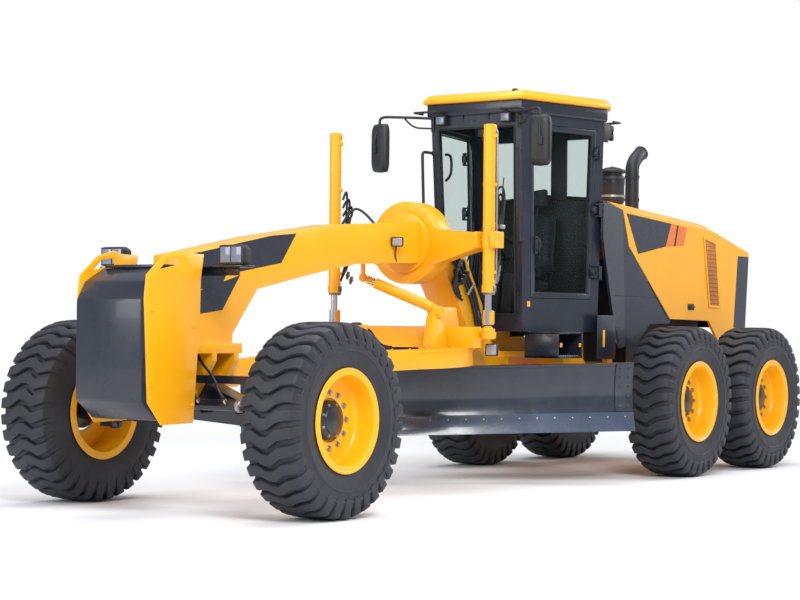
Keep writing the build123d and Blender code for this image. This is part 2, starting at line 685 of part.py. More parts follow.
# steps, handrails, mirror arms and mirror heads
MIRROR_X = 2800.0
MIRROR_Y = 810.0
MIRROR_Z = 2865.0
ARM_R = 14.0
STEP_BOX_H = 225.0
with BuildPart(GROUND) as steps_and_rails:
    for _, s in SIDES:
        # step box under the door
        with Locations((2120, s * 560, CAB_FLOOR - SEAT - STEP_BOX_H / 2)):
            Box(420, 330, STEP_BOX_H)
            with Locations((0, s * 60, 20)):
                Box(340, 330, 120, mode=Mode.SUBTRACT)
        # mirror head
        with Locations(Location((MIRROR_X, s * MIRROR_Y, MIRROR_Z), (0, 0, s * 12))):
            Box(70, 190, 430)
        # mirror arm
        start = (CAB_FRONT_HIGH + 7, s * (CAB_FRONT_HALF_HIGH - 30), 3060)
        bend = (MIRROR_X - 30, s * (MIRROR_Y - 60), 3110)
        tip = (MIRROR_X, s * MIRROR_Y, MIRROR_Z + 200)
        with BuildLine():
            arm = FilletPolyline(
                (TANDEM_X + start[0], start[1], start[2]),
                (TANDEM_X + bend[0], bend[1], bend[2]),
                (TANDEM_X + tip[0], tip[1], tip[2]),
                radius=60,
            )
        with BuildSketch(Plane(origin=arm @ 0, z_dir=arm % 0)):
            Circle(ARM_R)
        sweep(path=arm)
steps_and_rails.part.label = "steps_and_rails"
export_step(steps_and_rails.part, "parts/steps_and_rails.step")

# work lamps at the eaves, front and rear
LAMP = (60.0, 110.0, 90.0)
LAMP_Z = 3095.0
LAMP_FACE = CAB_FRONT_LOW + (CAB_FRONT_HIGH - CAB_FRONT_LOW) * (LAMP_Z + 45 - CAB_FLOOR) / (CAB_TOP - CAB_FLOOR)
with BuildPart(GROUND) as cab_lamps:
    for _, s in SIDES:
        with Locations((LAMP_FACE + LAMP[0] / 2 + SEAT, s * 330, LAMP_Z)):
            Box(*LAMP)
        with Locations((CAB_BACK - LAMP[0] / 2 - SEAT, s * 430, LAMP_Z)):
            Box(*LAMP)
cab_lamps.part.label = "cab_lamps"
export_step(cab_lamps.part, "parts/cab_lamps.step")

# ---------------------------------------------------------------- front frame
# gooseneck in side view, from the nose's end round to the hitch
GOOSENECK_END = FRONT_AXLE + 350.0
BOLSTER_BACK = FRONT_AXLE - 180.0
LEG_X = HITCH_X + 450.0            # rear face of the leg that drops to the hitch
GOOSENECK_TOP = [
    (GOOSENECK_END - 24, 1794), (FRONT_AXLE - 596, 1964), (FRONT_AXLE - 1520, 2096), (SADDLE_X + 114, 2161),
    (SADDLE_X - 110, 2161), (SADDLE_X - 510, 2010), (LEG_X + 20, 1500), (LEG_X, 1250),
]
GOOSENECK_UNDER = [
    (LEG_X - 40, 1040), (LEG_X + 200, 1240), (SADDLE_X - 270, 1780), (SADDLE_X - 110, 1832), (SADDLE_X + 120, 1832),
    (SADDLE_X + 970, 1794), (FRONT_AXLE - 1135, 1704), (FRONT_AXLE - 460, 1573), (BOLSTER_BACK, 1247),
    (BOLSTER_BACK, 1120), (GOOSENECK_END - 30, 1120), (GOOSENECK_END, 1620),
]
FRONT_EAR_UPPER = (HITCH_UPPER[0] - SEAT - 60, HITCH_UPPER[0] - SEAT)
FRONT_EAR_LOWER = (HITCH_LOWER[1] + SEAT, HITCH_LOWER[1] + SEAT + 60)
PIN_EARS_Y = (70.0, 110.0)         # drawbar pin's ears, inner and outer faces
AXLE_PIN_R = 45.0                  # oscillation pin
AXLE_PIVOT_Z = 860.0
PIVOT_MID = FRONT_AXLE
PIVOT_PLATES = (PIVOT_MID - 120.0, PIVOT_MID + 120.0)    # centre stations of the two plates that hold the oscillation pin
PIVOT_PLATE_T = 50.0
with BuildPart(GROUND) as front_frame:
    with BuildSketch(side_plane(0)):
        with BuildLine():
            Polyline(*GOOSENECK_TOP, *GOOSENECK_UNDER, close=True)
        make_face()
    extrude(amount=BEAM_HALF, both=True)
    # journal that carries the lifter bracket
    with Locations(Location((SADDLE_X, 0, SADDLE_Z), (0, 90, 0))):
        Cylinder(JOURNAL_R, SADDLE_LENGTH + 60)
    # hitch block: a web with two ears inside the rear frame's ears
    with BuildSketch(side_plane(0)):
        with BuildLine():
            Polyline((LEG_X - 40, 1040), (LEG_X, 1250), (LEG_X - 120, 1250), (LEG_X - 220, 1040),
                     (LEG_X - 300, FRONT_EAR_UPPER[1]), (LEG_X - 300, FRONT_EAR_LOWER[0]),
                     (LEG_X - 120, FRONT_EAR_LOWER[0]), close=True)
        make_face()
    extrude(amount=BEAM_HALF - 10, both=True)
    for bottom, top in (FRONT_EAR_UPPER, FRONT_EAR_LOWER):
        with BuildSketch(GROUND.offset(bottom)):
            with Locations(((HITCH_X + LEG_X - 200) / 2, 0)):
                Rectangle(LEG_X - 200 - HITCH_X, 2 * HITCH_BOSS_R)
            with Locations((HITCH_X, 0)):
                Circle(HITCH_BOSS_R)
                Circle(HITCH_PIN_R + FIT, mode=Mode.SUBTRACT)
        extrude(amount=top - bottom)
    with Locations((HITCH_X, 0, (HITCH_LOWER[0] + HITCH_UPPER[1]) / 2)):
        Cylinder(HITCH_PIN_R + FIT, 400, mode=Mode.SUBTRACT)
    # bolster: plates hanging to the oscillation pin
    for x in PIVOT_PLATES:
        with BuildSketch(cross_plane(x - PIVOT_PLATE_T / 2)):
            with BuildLine():
                Polyline((-BEAM_HALF - 90, 1180), (-BEAM_HALF - 90, 1060), (-90, AXLE_PIVOT_Z - 40),
                         (90, AXLE_PIVOT_Z - 40), (BEAM_HALF + 90, 1060), (BEAM_HALF + 90, 1180), close=True)
            make_face()
            with Locations((0, AXLE_PIVOT_Z)):
                Circle(95)
        extrude(amount=PIVOT_PLATE_T)
    with Locations(((BOLSTER_BACK + GOOSENECK_END - 30) / 2, 0, 1145)):
        Box(GOOSENECK_END - 30 - BOLSTER_BACK, 2 * (BEAM_HALF + 90), 70)
    # oscillation pin, fixed in the plates
    with Locations(Location(((PIVOT_PLATES[0] + PIVOT_PLATES[1]) / 2, 0, AXLE_PIVOT_Z), (0, 90, 0))):
        Cylinder(AXLE_PIN_R, PIVOT_PLATES[1] - PIVOT_PLATES[0] + PIVOT_PLATE_T)
    # ears and pin for the drawbar behind the bolster
    for _, s in SIDES:
        with BuildSketch(side_plane(s * (PIN_EARS_Y[0] + PIN_EARS_Y[1]) / 2)):
            with BuildLine():
                Polyline((BOLSTER_BACK + 50, 860), (BOLSTER_BACK + 50, 1150), (BOLSTER_BACK, 1180),
                         (DRAWBAR_PIN_X - 60, DRAWBAR_PIN_Z + 60),
                         (DRAWBAR_PIN_X - 60, DRAWBAR_PIN_Z - 60), close=True)
            make_face()
            with Locations((DRAWBAR_PIN_X, DRAWBAR_PIN_Z)):
                Circle(85)
        extrude(amount=(PIN_EARS_Y[1] - PIN_EARS_Y[0]) / 2, both=True)
    with Locations((DRAWBAR_PIN_X, 0, DRAWBAR_PIN_Z)):
        Cylinder(DRAWBAR_PIN_R, 2 * PIN_EARS_Y[1] + 20, rotation=(90, 0, 0))
    # bracket of the centre shift cylinder under the beam
    with Locations((SHIFT_BASE[0], SHIFT_BASE[1], SHIFT_BASE[2] + 80)):
        Cylinder(18, 120)
    with Locations(SHIFT_BASE):
        Sphere(SHIFT_BALL_R)
front_frame.part.label = "front_frame"
export_step(front_frame.part, "parts/front_frame.step")

# lifter bracket: ring on the journal with an arm to each lift cylinder
CLEVIS_GAP = 62.0                  # half the gap between a clevis's cheeks
CLEVIS_T = 26.0
with BuildPart(GROUND) as saddle:
    with BuildSketch(cross_plane(SADDLE_X - SADDLE_LENGTH / 2)):
        with Locations((0, SADDLE_Z)):
            Circle(SADDLE_R)
            Circle(JOURNAL_R + SEAT, mode=Mode.SUBTRACT)
    extrude(amount=SADDLE_LENGTH)
    arm_end = LIFT_Y - CLEVIS_GAP - CLEVIS_T
    for _, s in SIDES:
        with BuildSketch(cross_plane(LIFT_X - 70)):
            with BuildLine():
                Polyline((s * (SADDLE_R - 60), SADDLE_Z + 110), (s * arm_end, TRUNNION_Z + 60),
                         (s * arm_end, TRUNNION_Z - 70), (s * (SADDLE_R - 90), SADDLE_Z - 190), close=True)
            make_face()
        extrude(amount=140)
        for y in (LIFT_Y - CLEVIS_GAP - CLEVIS_T / 2, LIFT_Y + CLEVIS_GAP + CLEVIS_T / 2):
            with BuildSketch(side_plane(s * y)):
                with Locations((LIFT_X, TRUNNION_Z)):
                    RectangleRounded(170, 130, 20)
                    Circle(TRUNNION_R + FIT, mode=Mode.SUBTRACT)
            extrude(amount=CLEVIS_T / 2, both=True)
        # web that joins the outer cheek behind the barrel
        with Locations((LIFT_X - 72, s * LIFT_Y, TRUNNION_Z)):
            Box(26, 2 * (CLEVIS_GAP + CLEVIS_T), 130)
saddle.part.label = "saddle"
export_step(saddle.part, "parts/saddle.step")

# ---------------------------------------------------------------- nose
PLATE_OUTER = 310.0
PLATE_T = 12.0
# side views as distances behind the foremost face, and heights
NOSE_SIDE = [(624, 1794), (430, 1800), (380, 1820), (210, 1777), (40, 1640), (20, 1480), (60, 785), (200, 630),
             (530, 635), (590, 1380), (594, 1620)]
NOSE_CORE = [(614 - SEAT, 1380), (600 - SEAT, 1620), (470, 1700), (250, 1690), (80, 1600), (0, 1470), (0, 790),
             (170, 660), (510, 665)]
with BuildPart(GROUND) as nose_block:
    with BuildSketch(side_plane(0)):
        with BuildLine():
            Polyline(*[(NOSE_FRONT - x, z) for x, z in NOSE_CORE], close=True)
        make_face()
    extrude(amount=PLATE_OUTER - PLATE_T - SEAT, both=True)
nose_block.part.label = "nose_block"
export_step(nose_block.part, "parts/nose_block.step")

with BuildPart(GROUND) as nose_plates:
    for _, s in SIDES:
        with BuildSketch(side_plane(s * (PLATE_OUTER - PLATE_T / 2))):
            with BuildLine():
                Polyline(*[(NOSE_FRONT - x, z) for x, z in NOSE_SIDE], close=True)
            make_face()
        extrude(amount=PLATE_T / 2, both=True)
nose_plates.part.label = "nose_plates"
export_step(nose_plates.part, "parts/nose_plates.step")

# headlamps on wings beside the gooseneck
HEADLAMP_X = GOOSENECK_END - 30.0
HEADLAMP_Y = 550.0
HEADLAMP_Z = 1790.0
with BuildPart(GROUND) as headlamps:
    for _, s in SIDES:
        with BuildSketch(GROUND.offset(HEADLAMP_Z - 80)):
            with BuildLine():
                Polyline((HEADLAMP_X - 200, s * (BEAM_HALF + SEAT)), (HEADLAMP_X - 40, s * (BEAM_HALF + SEAT)),
                         (HEADLAMP_X + 20, s * (HEADLAMP_Y + 110)), (HEADLAMP_X - 130, s * (HEADLAMP_Y + 110)),
                         close=True)
            make_face()
        extrude(amount=12)
        with Locations((HEADLAMP_X - 55, s * HEADLAMP_Y, HEADLAMP_Z)):
            Box(130, 210, 140)
headlamps.part.label = "headlamps"
export_step(headlamps.part, "parts/headlamps.step")

# ---------------------------------------------------------------- front axle
LEAN_Y = 660.0                     # lean pin
LEAN_PIN_R = 32.0
LEAN_EYE_R = 68.0
EYE_HALF = 58.0                    # half width of the beam's end eye
CHEEK_IN = 64.0
CHEEK_OUT = 88.0
LEAN_BAR_Z = 930.0
LEAN_BAR_X = PIVOT_MID + 175.0
LEAN_BAR_PIN_R = 18.0
KINGPIN_Y = 800.0
KINGPIN_R = 30.0
HEAD_R = 50.0
HEAD_HALF = 60.0                   # half height of the yoke's head
SWING_GAP = 8.0                    # height between the yoke and the arms that swing over it
ARM_T = 50.0                       # thickness of the knuckle's ears and arms
STEER_ARM = 165.0                  # kingpin to the centre of an arm's end
STEER_EYE_R = 30.0
ARM_Z = AXLE_Z + HEAD_HALF + SEAT + ARM_T / 2
STEER_BARREL_R = 40.0
STEER_ROD_R = 18.0
LINK_X = STEER_ARM + 2 * STEER_EYE_R + SEAT     # tie rod and steering rods from the axle's centre
STEER_MAX = 45.0
# an arm's eye at full lock comes this far inboard, and the cheeks rise inboard of it
CHEEK_TOP_Y = KINGPIN_Y - (STEER_ARM + STEER_EYE_R) * sin(radians(STEER_MAX)) + 2
TIE_R = 24.0

with BuildPart(GROUND) as axle_beam:
    with BuildSketch(cross_plane(PIVOT_MID)):
        with BuildLine():
            half = [(70, 925), (250, 850), (540, 745), (540, 605), (250, 625), (0, 640)]
            Polyline((0, 925), *half, *[(-y, z) for y, z in reversed(half[:-1])], close=True)
        make_face()
        with Locations((0, AXLE_PIVOT_Z)):
            Circle(95)
    extrude(amount=90, both=True)
    for _, s in SIDES:
        with BuildSketch(cross_plane(PIVOT_MID)):
            with BuildLine():
                Polyline((s * 530, 740), (s * LEAN_Y, AXLE_Z + LEAN_EYE_R - 4), (s * LEAN_Y, AXLE_Z - LEAN_EYE_R + 4),
                         (s * 530, 610), close=True)
            make_face()
            with Locations((s * LEAN_Y, AXLE_Z)):
                Circle(LEAN_EYE_R)
        extrude(amount=EYE_HALF, both=True)
        with Locations(Location((PIVOT_MID, s * LEAN_Y, AXLE_Z), (0, 90, 0))):
            Cylinder(LEAN_PIN_R + FIT, 200, mode=Mode.SUBTRACT)
        # steering cylinder on brackets at the front
        with Locations((PIVOT_MID + LINK_X, s * 350, ARM_Z)):
            Cylinder(STEER_BARREL_R, 440, rotation=(90, 0, 0))
        for y in (180, 500):
            with Locations((PIVOT_MID + 150, s * y, ARM_Z - 30)):
                Box(140, 40, 60)
        with Locations((PIVOT_MID + LINK_X, s * 370, ARM_Z)):
            Cylinder(STEER_ROD_R + FIT, 440, rotation=(90, 0, 0), mode=Mode.SUBTRACT)
    with Locations(Location((PIVOT_MID, 0, AXLE_PIVOT_Z), (0, 90, 0))):
        Cylinder(AXLE_PIN_R + FIT, 200, mode=Mode.SUBTRACT)
axle_beam.part.label = "axle_beam"
export_step(axle_beam.part, "parts/axle_beam.step")

for side, s in SIDES:
    with BuildPart(GROUND) as yoke:
        # two cheeks round the beam's eye, rising to the lean bar
        for x in (-CHEEK_OUT, CHEEK_IN):
            with BuildSketch(cross_plane(PIVOT_MID + x)):
                with Locations((s * LEAN_Y, AXLE_Z)):
                    Circle(60)
                with BuildLine():
                    Polyline(
                        (s * (LEAN_Y - 50), AXLE_Z),
                        (s * (LEAN_Y - 35), LEAN_BAR_Z),
                        (s * (LEAN_Y + 35), LEAN_BAR_Z),
                        (s * CHEEK_TOP_Y, ARM_Z + ARM_T / 2 + 3 * SWING_GAP),
                        (s * CHEEK_TOP_Y, AXLE_Z + HEAD_HALF - SWING_GAP),
                        (s * 760, AXLE_Z + HEAD_HALF - SWING_GAP),
                        (s * 760, AXLE_Z - HEAD_HALF + SWING_GAP),
                        close=True,
                    )
                make_face()
                with Locations((s * LEAN_Y, LEAN_BAR_Z)):
                    Circle(35)
            extrude(amount=CHEEK_OUT - CHEEK_IN)
        # outboard web and kingpin head
        with Locations((PIVOT_MID, s * 748, AXLE_Z)):
            Box(2 * CHEEK_OUT, 24, 2 * (HEAD_HALF - SWING_GAP))
        with Locations((PIVOT_MID, s * KINGPIN_Y, AXLE_Z)):
            Cylinder(HEAD_R, 2 * HEAD_HALF)
        with Locations((PIVOT_MID, s * (KINGPIN_Y + 748) / 2, AXLE_Z)):
            Box(2 * HEAD_R - 20, KINGPIN_Y - 748, 2 * (HEAD_HALF - SWING_GAP))
        with Locations((PIVOT_MID, s * KINGPIN_Y, AXLE_Z)):
            Cylinder(KINGPIN_R + FIT, 2 * HEAD_HALF, mode=Mode.SUBTRACT)
        # lean pin and the boss and pin of the lean bar
        with Locations(Location((PIVOT_MID, s * LEAN_Y, AXLE_Z), (0, 90, 0))):
            Cylinder(LEAN_PIN_R, 2 * CHEEK_OUT + 20)
        with Locations(Location((PIVOT_MID + (CHEEK_IN + 150) / 2, s * LEAN_Y, LEAN_BAR_Z), (0, 90, 0))):
            Cylinder(35, 150 - CHEEK_IN)
        with Locations(Location((LEAN_BAR_X, s * LEAN_Y, LEAN_BAR_Z), (0, 90, 0))):
            Cylinder(LEAN_BAR_PIN_R, 60)
    yoke.part.label = f"yoke_{side}"
    export_step(yoke.part, f"parts/yoke_{side}.step")

    with BuildPart(GROUND) as knuckle:
        for end in (-1, 1):
            ear_z = AXLE_Z + end * (HEAD_HALF + SEAT + ARM_T / 2)
            with Locations((PIVOT_MID, s * KINGPIN_Y, ear_z)):
                Cylinder(HEAD_R, ARM_T)
            with Locations((PIVOT_MID, s * (KINGPIN_Y + 40), ear_z)):
                Box(90, 80, ARM_T)
        # steering arms forward and back from the upper ear
        for x in (-STEER_ARM, STEER_ARM):
            with Locations((PIVOT_MID + x / 2, s * KINGPIN_Y, ARM_Z)):
                Box(STEER_ARM, 44, ARM_T)
            with Locations((PIVOT_MID + x, s * KINGPIN_Y, ARM_Z)):
                Cylinder(STEER_EYE_R, ARM_T)
        with Locations((PIVOT_MID, s * KINGPIN_Y, AXLE_Z)):
            Cylinder(KINGPIN_R, 2 * HEAD_HALF + 2 * ARM_T)
        # web and spindle
        with Locations((PIVOT_MID, s * 870, AXLE_Z)):
            Box(150, 24, 2 * HEAD_HALF + 2 * ARM_T)
        spindle_end = TRACK_FRONT / 2 + HUB_OUT - 30 - SEAT
        with Locations((PIVOT_MID, s * (870 + spindle_end) / 2, AXLE_Z)):
            Cylinder(SPINDLE_R, spindle_end - 870, rotation=(90, 0, 0))
    knuckle.part.label = f"knuckle_{side}"
    export_step(knuckle.part, f"parts/knuckle_{side}.step")

    with BuildPart(GROUND) as steer_rod:
        with Locations((PIVOT_MID + LINK_X, s * (KINGPIN_Y + 330) / 2, ARM_Z)):
            Cylinder(STEER_ROD_R, KINGPIN_Y - 330, rotation=(90, 0, 0))
        with Locations((PIVOT_MID + LINK_X, s * KINGPIN_Y, ARM_Z)):
            Cylinder(STEER_EYE_R, ARM_T)
    steer_rod.part.label = f"steer_rod_{side}"
    export_step(steer_rod.part, f"parts/steer_rod_{side}.step")

with BuildPart(GROUND) as lean_bar:
    with Locations((LEAN_BAR_X, 0, LEAN_BAR_Z)):
        Box(48, 2 * LEAN_Y, 56)
    for _, s in SIDES:
        with Locations(Location((LEAN_BAR_X, s * LEAN_Y, LEAN_BAR_Z), (0, 90, 0))):
            Cylinder(35, 48)
            Cylinder(LEAN_BAR_PIN_R + FIT, 48, mode=Mode.SUBTRACT)
lean_bar.part.label = "lean_bar"
export_step(lean_bar.part, "parts/lean_bar.step")

with BuildPart(GROUND) as tie_rod:
    with Locations((PIVOT_MID - LINK_X, 0, ARM_Z)):
        Cylinder(TIE_R, 2 * KINGPIN_Y, rotation=(90, 0, 0))
    for _, s in SIDES:
        with Locations((PIVOT_MID - LINK_X, s * KINGPIN_Y, ARM_Z)):
            Cylinder(STEER_EYE_R, ARM_T)
tie_rod.part.label = "tie_rod"
export_step(tie_rod.part, "parts/tie_rod.step")

# ---------------------------------------------------------------- lift cylinders
HEAD_LENGTH = 120.0
for side, s in SIDES:
    with BuildPart(GROUND) as lift_barrel:
        with Locations((LIFT_X, s * LIFT_Y, (BARREL_TOP + BARREL_BOTTOM) / 2)):
            Cylinder(BARREL_R, BARREL_TOP - BARREL_BOTTOM)
        with Locations((LIFT_X, s * LIFT_Y, TRUNNION_Z)):
            Cylinder(BARREL_R + 9, 120)
            Cylinder(TRUNNION_R, 2 * (CLEVIS_GAP + CLEVIS_T), rotation=(90, 0, 0))
        with Locations((LIFT_X, s * LIFT_Y, BARREL_BOTTOM + 30)):
            Cylinder(BARREL_R + 6, 60)
        bore_top = BARREL_TOP - 40
        with Locations((LIFT_X, s * LIFT_Y, (bore_top + BARREL_BOTTOM) / 2)):
            Cylinder(ROD_R + FIT, bore_top - BARREL_BOTTOM, mode=Mode.SUBTRACT)
    lift_barrel.part.label = f"lift_barrel_{side}"
    export_step(lift_barrel.part, f"parts/lift_barrel_{side}.step")
    with BuildPart(GROUND) as lift_rod:
        head_bottom = BALL_Z + BALL_R + SEAT
        with Locations((LIFT_X, s * LIFT_Y, head_bottom + HEAD_LENGTH / 2)):
            Cylinder(ROD_R + 12, HEAD_LENGTH)
        rod_top = BARREL_TOP - 60
        with Locations((LIFT_X, s * LIFT_Y, (rod_top + head_bottom + HEAD_LENGTH) / 2)):
            Cylinder(ROD_R, rod_top - head_bottom - HEAD_LENGTH)
    lift_rod.part.label = f"lift_rod_{side}"
    export_step(lift_rod.part, f"parts/lift_rod_{side}.step")

# ---------------------------------------------------------------- centre shift cylinder
SHIFT_BARREL_R = 42.0
SHIFT_ROD_R = 20.0
SHIFT_BARREL = 505.0
SHIFT_CUP = 15.0                   # the cup's rim from the ball's centre
SHIFT_LINE = Vector(*SHIFT_BASE) - Vector(*SHIFT_BALL)
SHIFT_SPAN = SHIFT_LINE.length
SHIFT_PLANE = Plane(
    origin=(TANDEM_X + SHIFT_BALL[0], SHIFT_BALL[1], SHIFT_BALL[2]),
    z_dir=SHIFT_LINE.normalized(),
)
with BuildPart() as shift_barrel:
    with BuildSketch(SHIFT_PLANE.offset(SHIFT_CUP)):
        Circle(SHIFT_BARREL_R)
    extrude(amount=SHIFT_BARREL)
    with Locations(SHIFT_PLANE.location):
        Sphere(SHIFT_BALL_R + SEAT, mode=Mode.SUBTRACT)
    with BuildSketch(SHIFT_PLANE.offset(90)):
        Circle(SHIFT_ROD_R + FIT)
    extrude(amount=SHIFT_BARREL, mode=Mode.SUBTRACT)
shift_barrel.part.label = "shift_barrel"
export_step(shift_barrel.part, "parts/shift_barrel.step")

with BuildPart() as shift_rod:
    with BuildSketch(SHIFT_PLANE.offset(110)):
        Circle(SHIFT_ROD_R)
    extrude(amount=SHIFT_SPAN - SHIFT_BALL_R - SEAT - 110)
    with BuildSketch(SHIFT_PLANE.offset(SHIFT_SPAN - SHIFT_BALL_R - SEAT - 60)):
        Circle(SHIFT_ROD_R + 12)
    extrude(amount=60)
shift_rod.part.label = "shift_rod"
export_step(shift_rod.part, "parts/shift_rod.step")

# ---------------------------------------------------------------- drawbar
PLATE_RING_IN = 430.0
PLATE_RING_T = 15.0
SKIRT_T = 12.0
TONGUE_HALF = PIN_EARS_Y[0] - 2.0
GUARD_TOP = GUARD_DEPTH - GUARD_DROP
LIFT_BEAM = 120.0                  # thickness and height of the cross beam that the lift cylinders hold
LIFT_BEAM_H = 150.0
SWEEP = 110.0                      # the guard's skirt covers this much each side of straight ahead


def drawbar_point(x, y, z):
    """A point at a station, in the drawbar's own coordinates."""
    return DRAWBAR.to_local_coords(Vector(TANDEM_X + x, y, z))


with BuildPart() as drawbar:
    # tongue, then the two members of the A out to the ring
    with BuildSketch(DRAWBAR.offset(-GUARD_DROP)):
        with BuildLine():
            plan = [(-30, TONGUE_HALF), (-300, TONGUE_HALF), (-1500, 440), (-1900, 560), (-1900, 380), (-1500, 290),
                    (-520, 0)]
            Polyline((-30, 0), *plan, *[(x, -y) for x, y in reversed(plan[:-1])], close=True)
        make_face()
    extrude(amount=GUARD_TOP + GUARD_DROP)
    with BuildSketch(RING):
        Circle(GUARD_R - SKIRT_T)
    extrude(amount=GUARD_DEPTH - PLATE_RING_T, mode=Mode.SUBTRACT)
    # ring plate and the guard's skirt
    with BuildSketch(RING.offset(GUARD_DEPTH - PLATE_RING_T)):
        Circle(GUARD_R)
        Circle(PLATE_RING_IN, mode=Mode.SUBTRACT)
    extrude(amount=PLATE_RING_T)
    with BuildSketch(RING):
        with BuildLine():
            CenterArc((0, 0), GUARD_R, -SWEEP, 2 * SWEEP)
            CenterArc((0, 0), GUARD_R - SKIRT_T, -SWEEP, 2 * SWEEP)
            for end in (-SWEEP, SWEEP):
                inner = (GUARD_R - SKIRT_T) * cos(radians(end)), (GUARD_R - SKIRT_T) * sin(radians(end))
                outer = GUARD_R * cos(radians(end)), GUARD_R * sin(radians(end))
                Line(inner, outer)
        make_face()
    extrude(amount=GUARD_DEPTH - 1)
    # eye on the pin
    with Locations(Location(DRAWBAR.origin, (90, 0, 0))):
        Cylinder(80, 2 * TONGUE_HALF)
        Cylinder(DRAWBAR_PIN_R + FIT, 300, mode=Mode.SUBTRACT)
    # cross beam with a ball at each end
    beam_at = drawbar_point(LIFT_X, 0, 0).X
    ball_up = drawbar_point(LIFT_X, 0, BALL_Z)
    with BuildSketch(DRAWBAR.offset(GUARD_TOP - 1)):
        with Locations((beam_at, 0)):
            Rectangle(LIFT_BEAM, 2 * (LIFT_Y - 70))
    extrude(amount=ball_up.Z - GUARD_TOP + 35)
    for _, s in SIDES:
        with Locations(Location((TANDEM_X + LIFT_X, s * (LIFT_Y - 40), BALL_Z), (90, 0, 0))):
            Cylinder(24, 80)
        with Locations((TANDEM_X + LIFT_X, s * LIFT_Y, BALL_Z)):
            Sphere(BALL_R)
    # tower of the centre shift cylinder's ball
    tower = drawbar_point(*SHIFT_BALL)
    with BuildSketch(DRAWBAR.offset(GUARD_TOP - 1)):
        with Locations((tower.X, tower.Y)):
            Rectangle(230, 90)
    with BuildSketch(DRAWBAR.offset(tower.Z - 60)):
        with Locations((tower.X, tower.Y)):
            Rectangle(110, 70)
    loft()
    with Locations((TANDEM_X + SHIFT_BALL[0], SHIFT_BALL[1], SHIFT_BALL[2] - 40)):
        Cylinder(16, 70)
    with Locations((TANDEM_X + SHIFT_BALL[0], SHIFT_BALL[1], SHIFT_BALL[2])):
        Sphere(SHIFT_BALL_R)
    # circle drive
    with BuildSketch(RING.offset(GUARD_DEPTH - 1)):
        with Locations((520, 0)):
            Circle(90)
    extrude(amount=200)
drawbar.part.label = "drawbar"
export_step(drawbar.part, "parts/drawbar.step")

# ---------------------------------------------------------------- circle
ARM_PLANE_X = 380.0                # arms from the blade's middle, along the blade
ARM_PLATE = 40.0
TILT_Y = -700.0                    # tilt pin, in the blade's coordinates
TILT_Z = -500.0
TILT_PIN_R = 25.0
RING_BOTTOM = 20.0
ARM_SIDE = [(-360, 40), (-480, 40), (-480, -8), (-720, -30), (-790, -300), (-760, -570), (-650, -570), (-640, -430),
            (-680, -250), (-640, -100), (-470, -28), (-360, -12)]


def blade_cross(x):
    """Plane across the blade at x along it: local x is forward, local y up."""
    return in_plane(BLADE, (x, 0, 0), (0, 1, 0), (1, 0, 0))


with BuildPart() as circle:
    with BuildSketch(BLADE.offset(RING_BOTTOM)):
        Circle(CIRCLE_R)
        Circle(CIRCLE_R - CIRCLE_WIDTH, mode=Mode.SUBTRACT)
    extrude(amount=GUARD_DEPTH - PLATE_RING_T - SEAT - RING_BOTTOM)
    for s in (-1, 1):
        with BuildSketch(blade_cross(s * ARM_PLANE_X - ARM_PLATE / 2)):
            with BuildLine():
                Polyline(*ARM_SIDE, close=True)
            make_face()
        extrude(amount=ARM_PLATE)
    for y, z in ((-745, -200), (-755, -330)):
        with BuildSketch(blade_cross(-ARM_PLANE_X)):
            with Locations((y, z)):
                Rectangle(50, 70)
        extrude(amount=2 * ARM_PLANE_X)
    for s in (-1, 1):
        with BuildSketch(blade_cross(s * ARM_PLANE_X - 75)):
            with Locations((TILT_Y, TILT_Z)):
                Circle(TILT_PIN_R)
        extrude(amount=150)
circle.part.label = "circle"
export_step(circle.part, "parts/circle.step")

# ---------------------------------------------------------------- tilt frame
BRACKET_X = 325.0
BRACKET_T = 30.0
RAIL_LOW_Z = -470.0
RAIL_HIGH_Z = -170.0
RAIL_Y0 = -600.0                   # rear and front faces of the blade's rails
RAIL_Y1 = -565.0
RAIL_WEB_Y = -497.0                # front edge of a rail's web, inside the blade's wall
RAIL_WEB_T = 24.0
SHIFT_CYL = (-600.0, -320.0)       # side shift cylinder, across and up
SIDE_ROD_R = 22.0
SIDE_BARREL_R = 36.0
SIDE_BARREL = 965.0
with BuildPart() as tilt_frame:
    for s in (-1, 1):
        with BuildSketch(blade_cross(s * BRACKET_X - BRACKET_T / 2)):
            with BuildLine():
                Polyline((-705, -545), (-550, -520), (-550, -120), (-640, -120), (-665, -300), (-740, -455),
                         close=True)
            make_face()
            with Locations((TILT_Y, TILT_Z)):
                Circle(45)
                Circle(TILT_PIN_R + FIT, mode=Mode.SUBTRACT)
            for z in (RAIL_LOW_Z, RAIL_HIGH_Z):
                with Locations(((RAIL_Y0 + RAIL_Y1) / 2, z)):
                    Rectangle(RAIL_Y1 - RAIL_Y0 + 2 * SEAT, RAIL_H + 2 * SEAT, mode=Mode.SUBTRACT)
                with Locations((RAIL_Y1, z)):
                    Rectangle(60, RAIL_WEB_T + 2 * SEAT, mode=Mode.SUBTRACT)
        extrude(amount=BRACKET_T)
    barrel_start = -BRACKET_X - BRACKET_T / 2 - 5
    with BuildSketch(blade_cross(barrel_start)):
        with Locations(SHIFT_CYL):
            Circle(SIDE_BARREL_R)
    extrude(amount=SIDE_BARREL)
    with BuildSketch(blade_cross(barrel_start)):
        with Locations(SHIFT_CYL):
            Circle(SIDE_ROD_R + FIT)
    extrude(amount=SIDE_BARREL - 30, mode=Mode.SUBTRACT)
tilt_frame.part.label = "tilt_frame"
export_step(tilt_frame.part, "parts/tilt_frame.step")

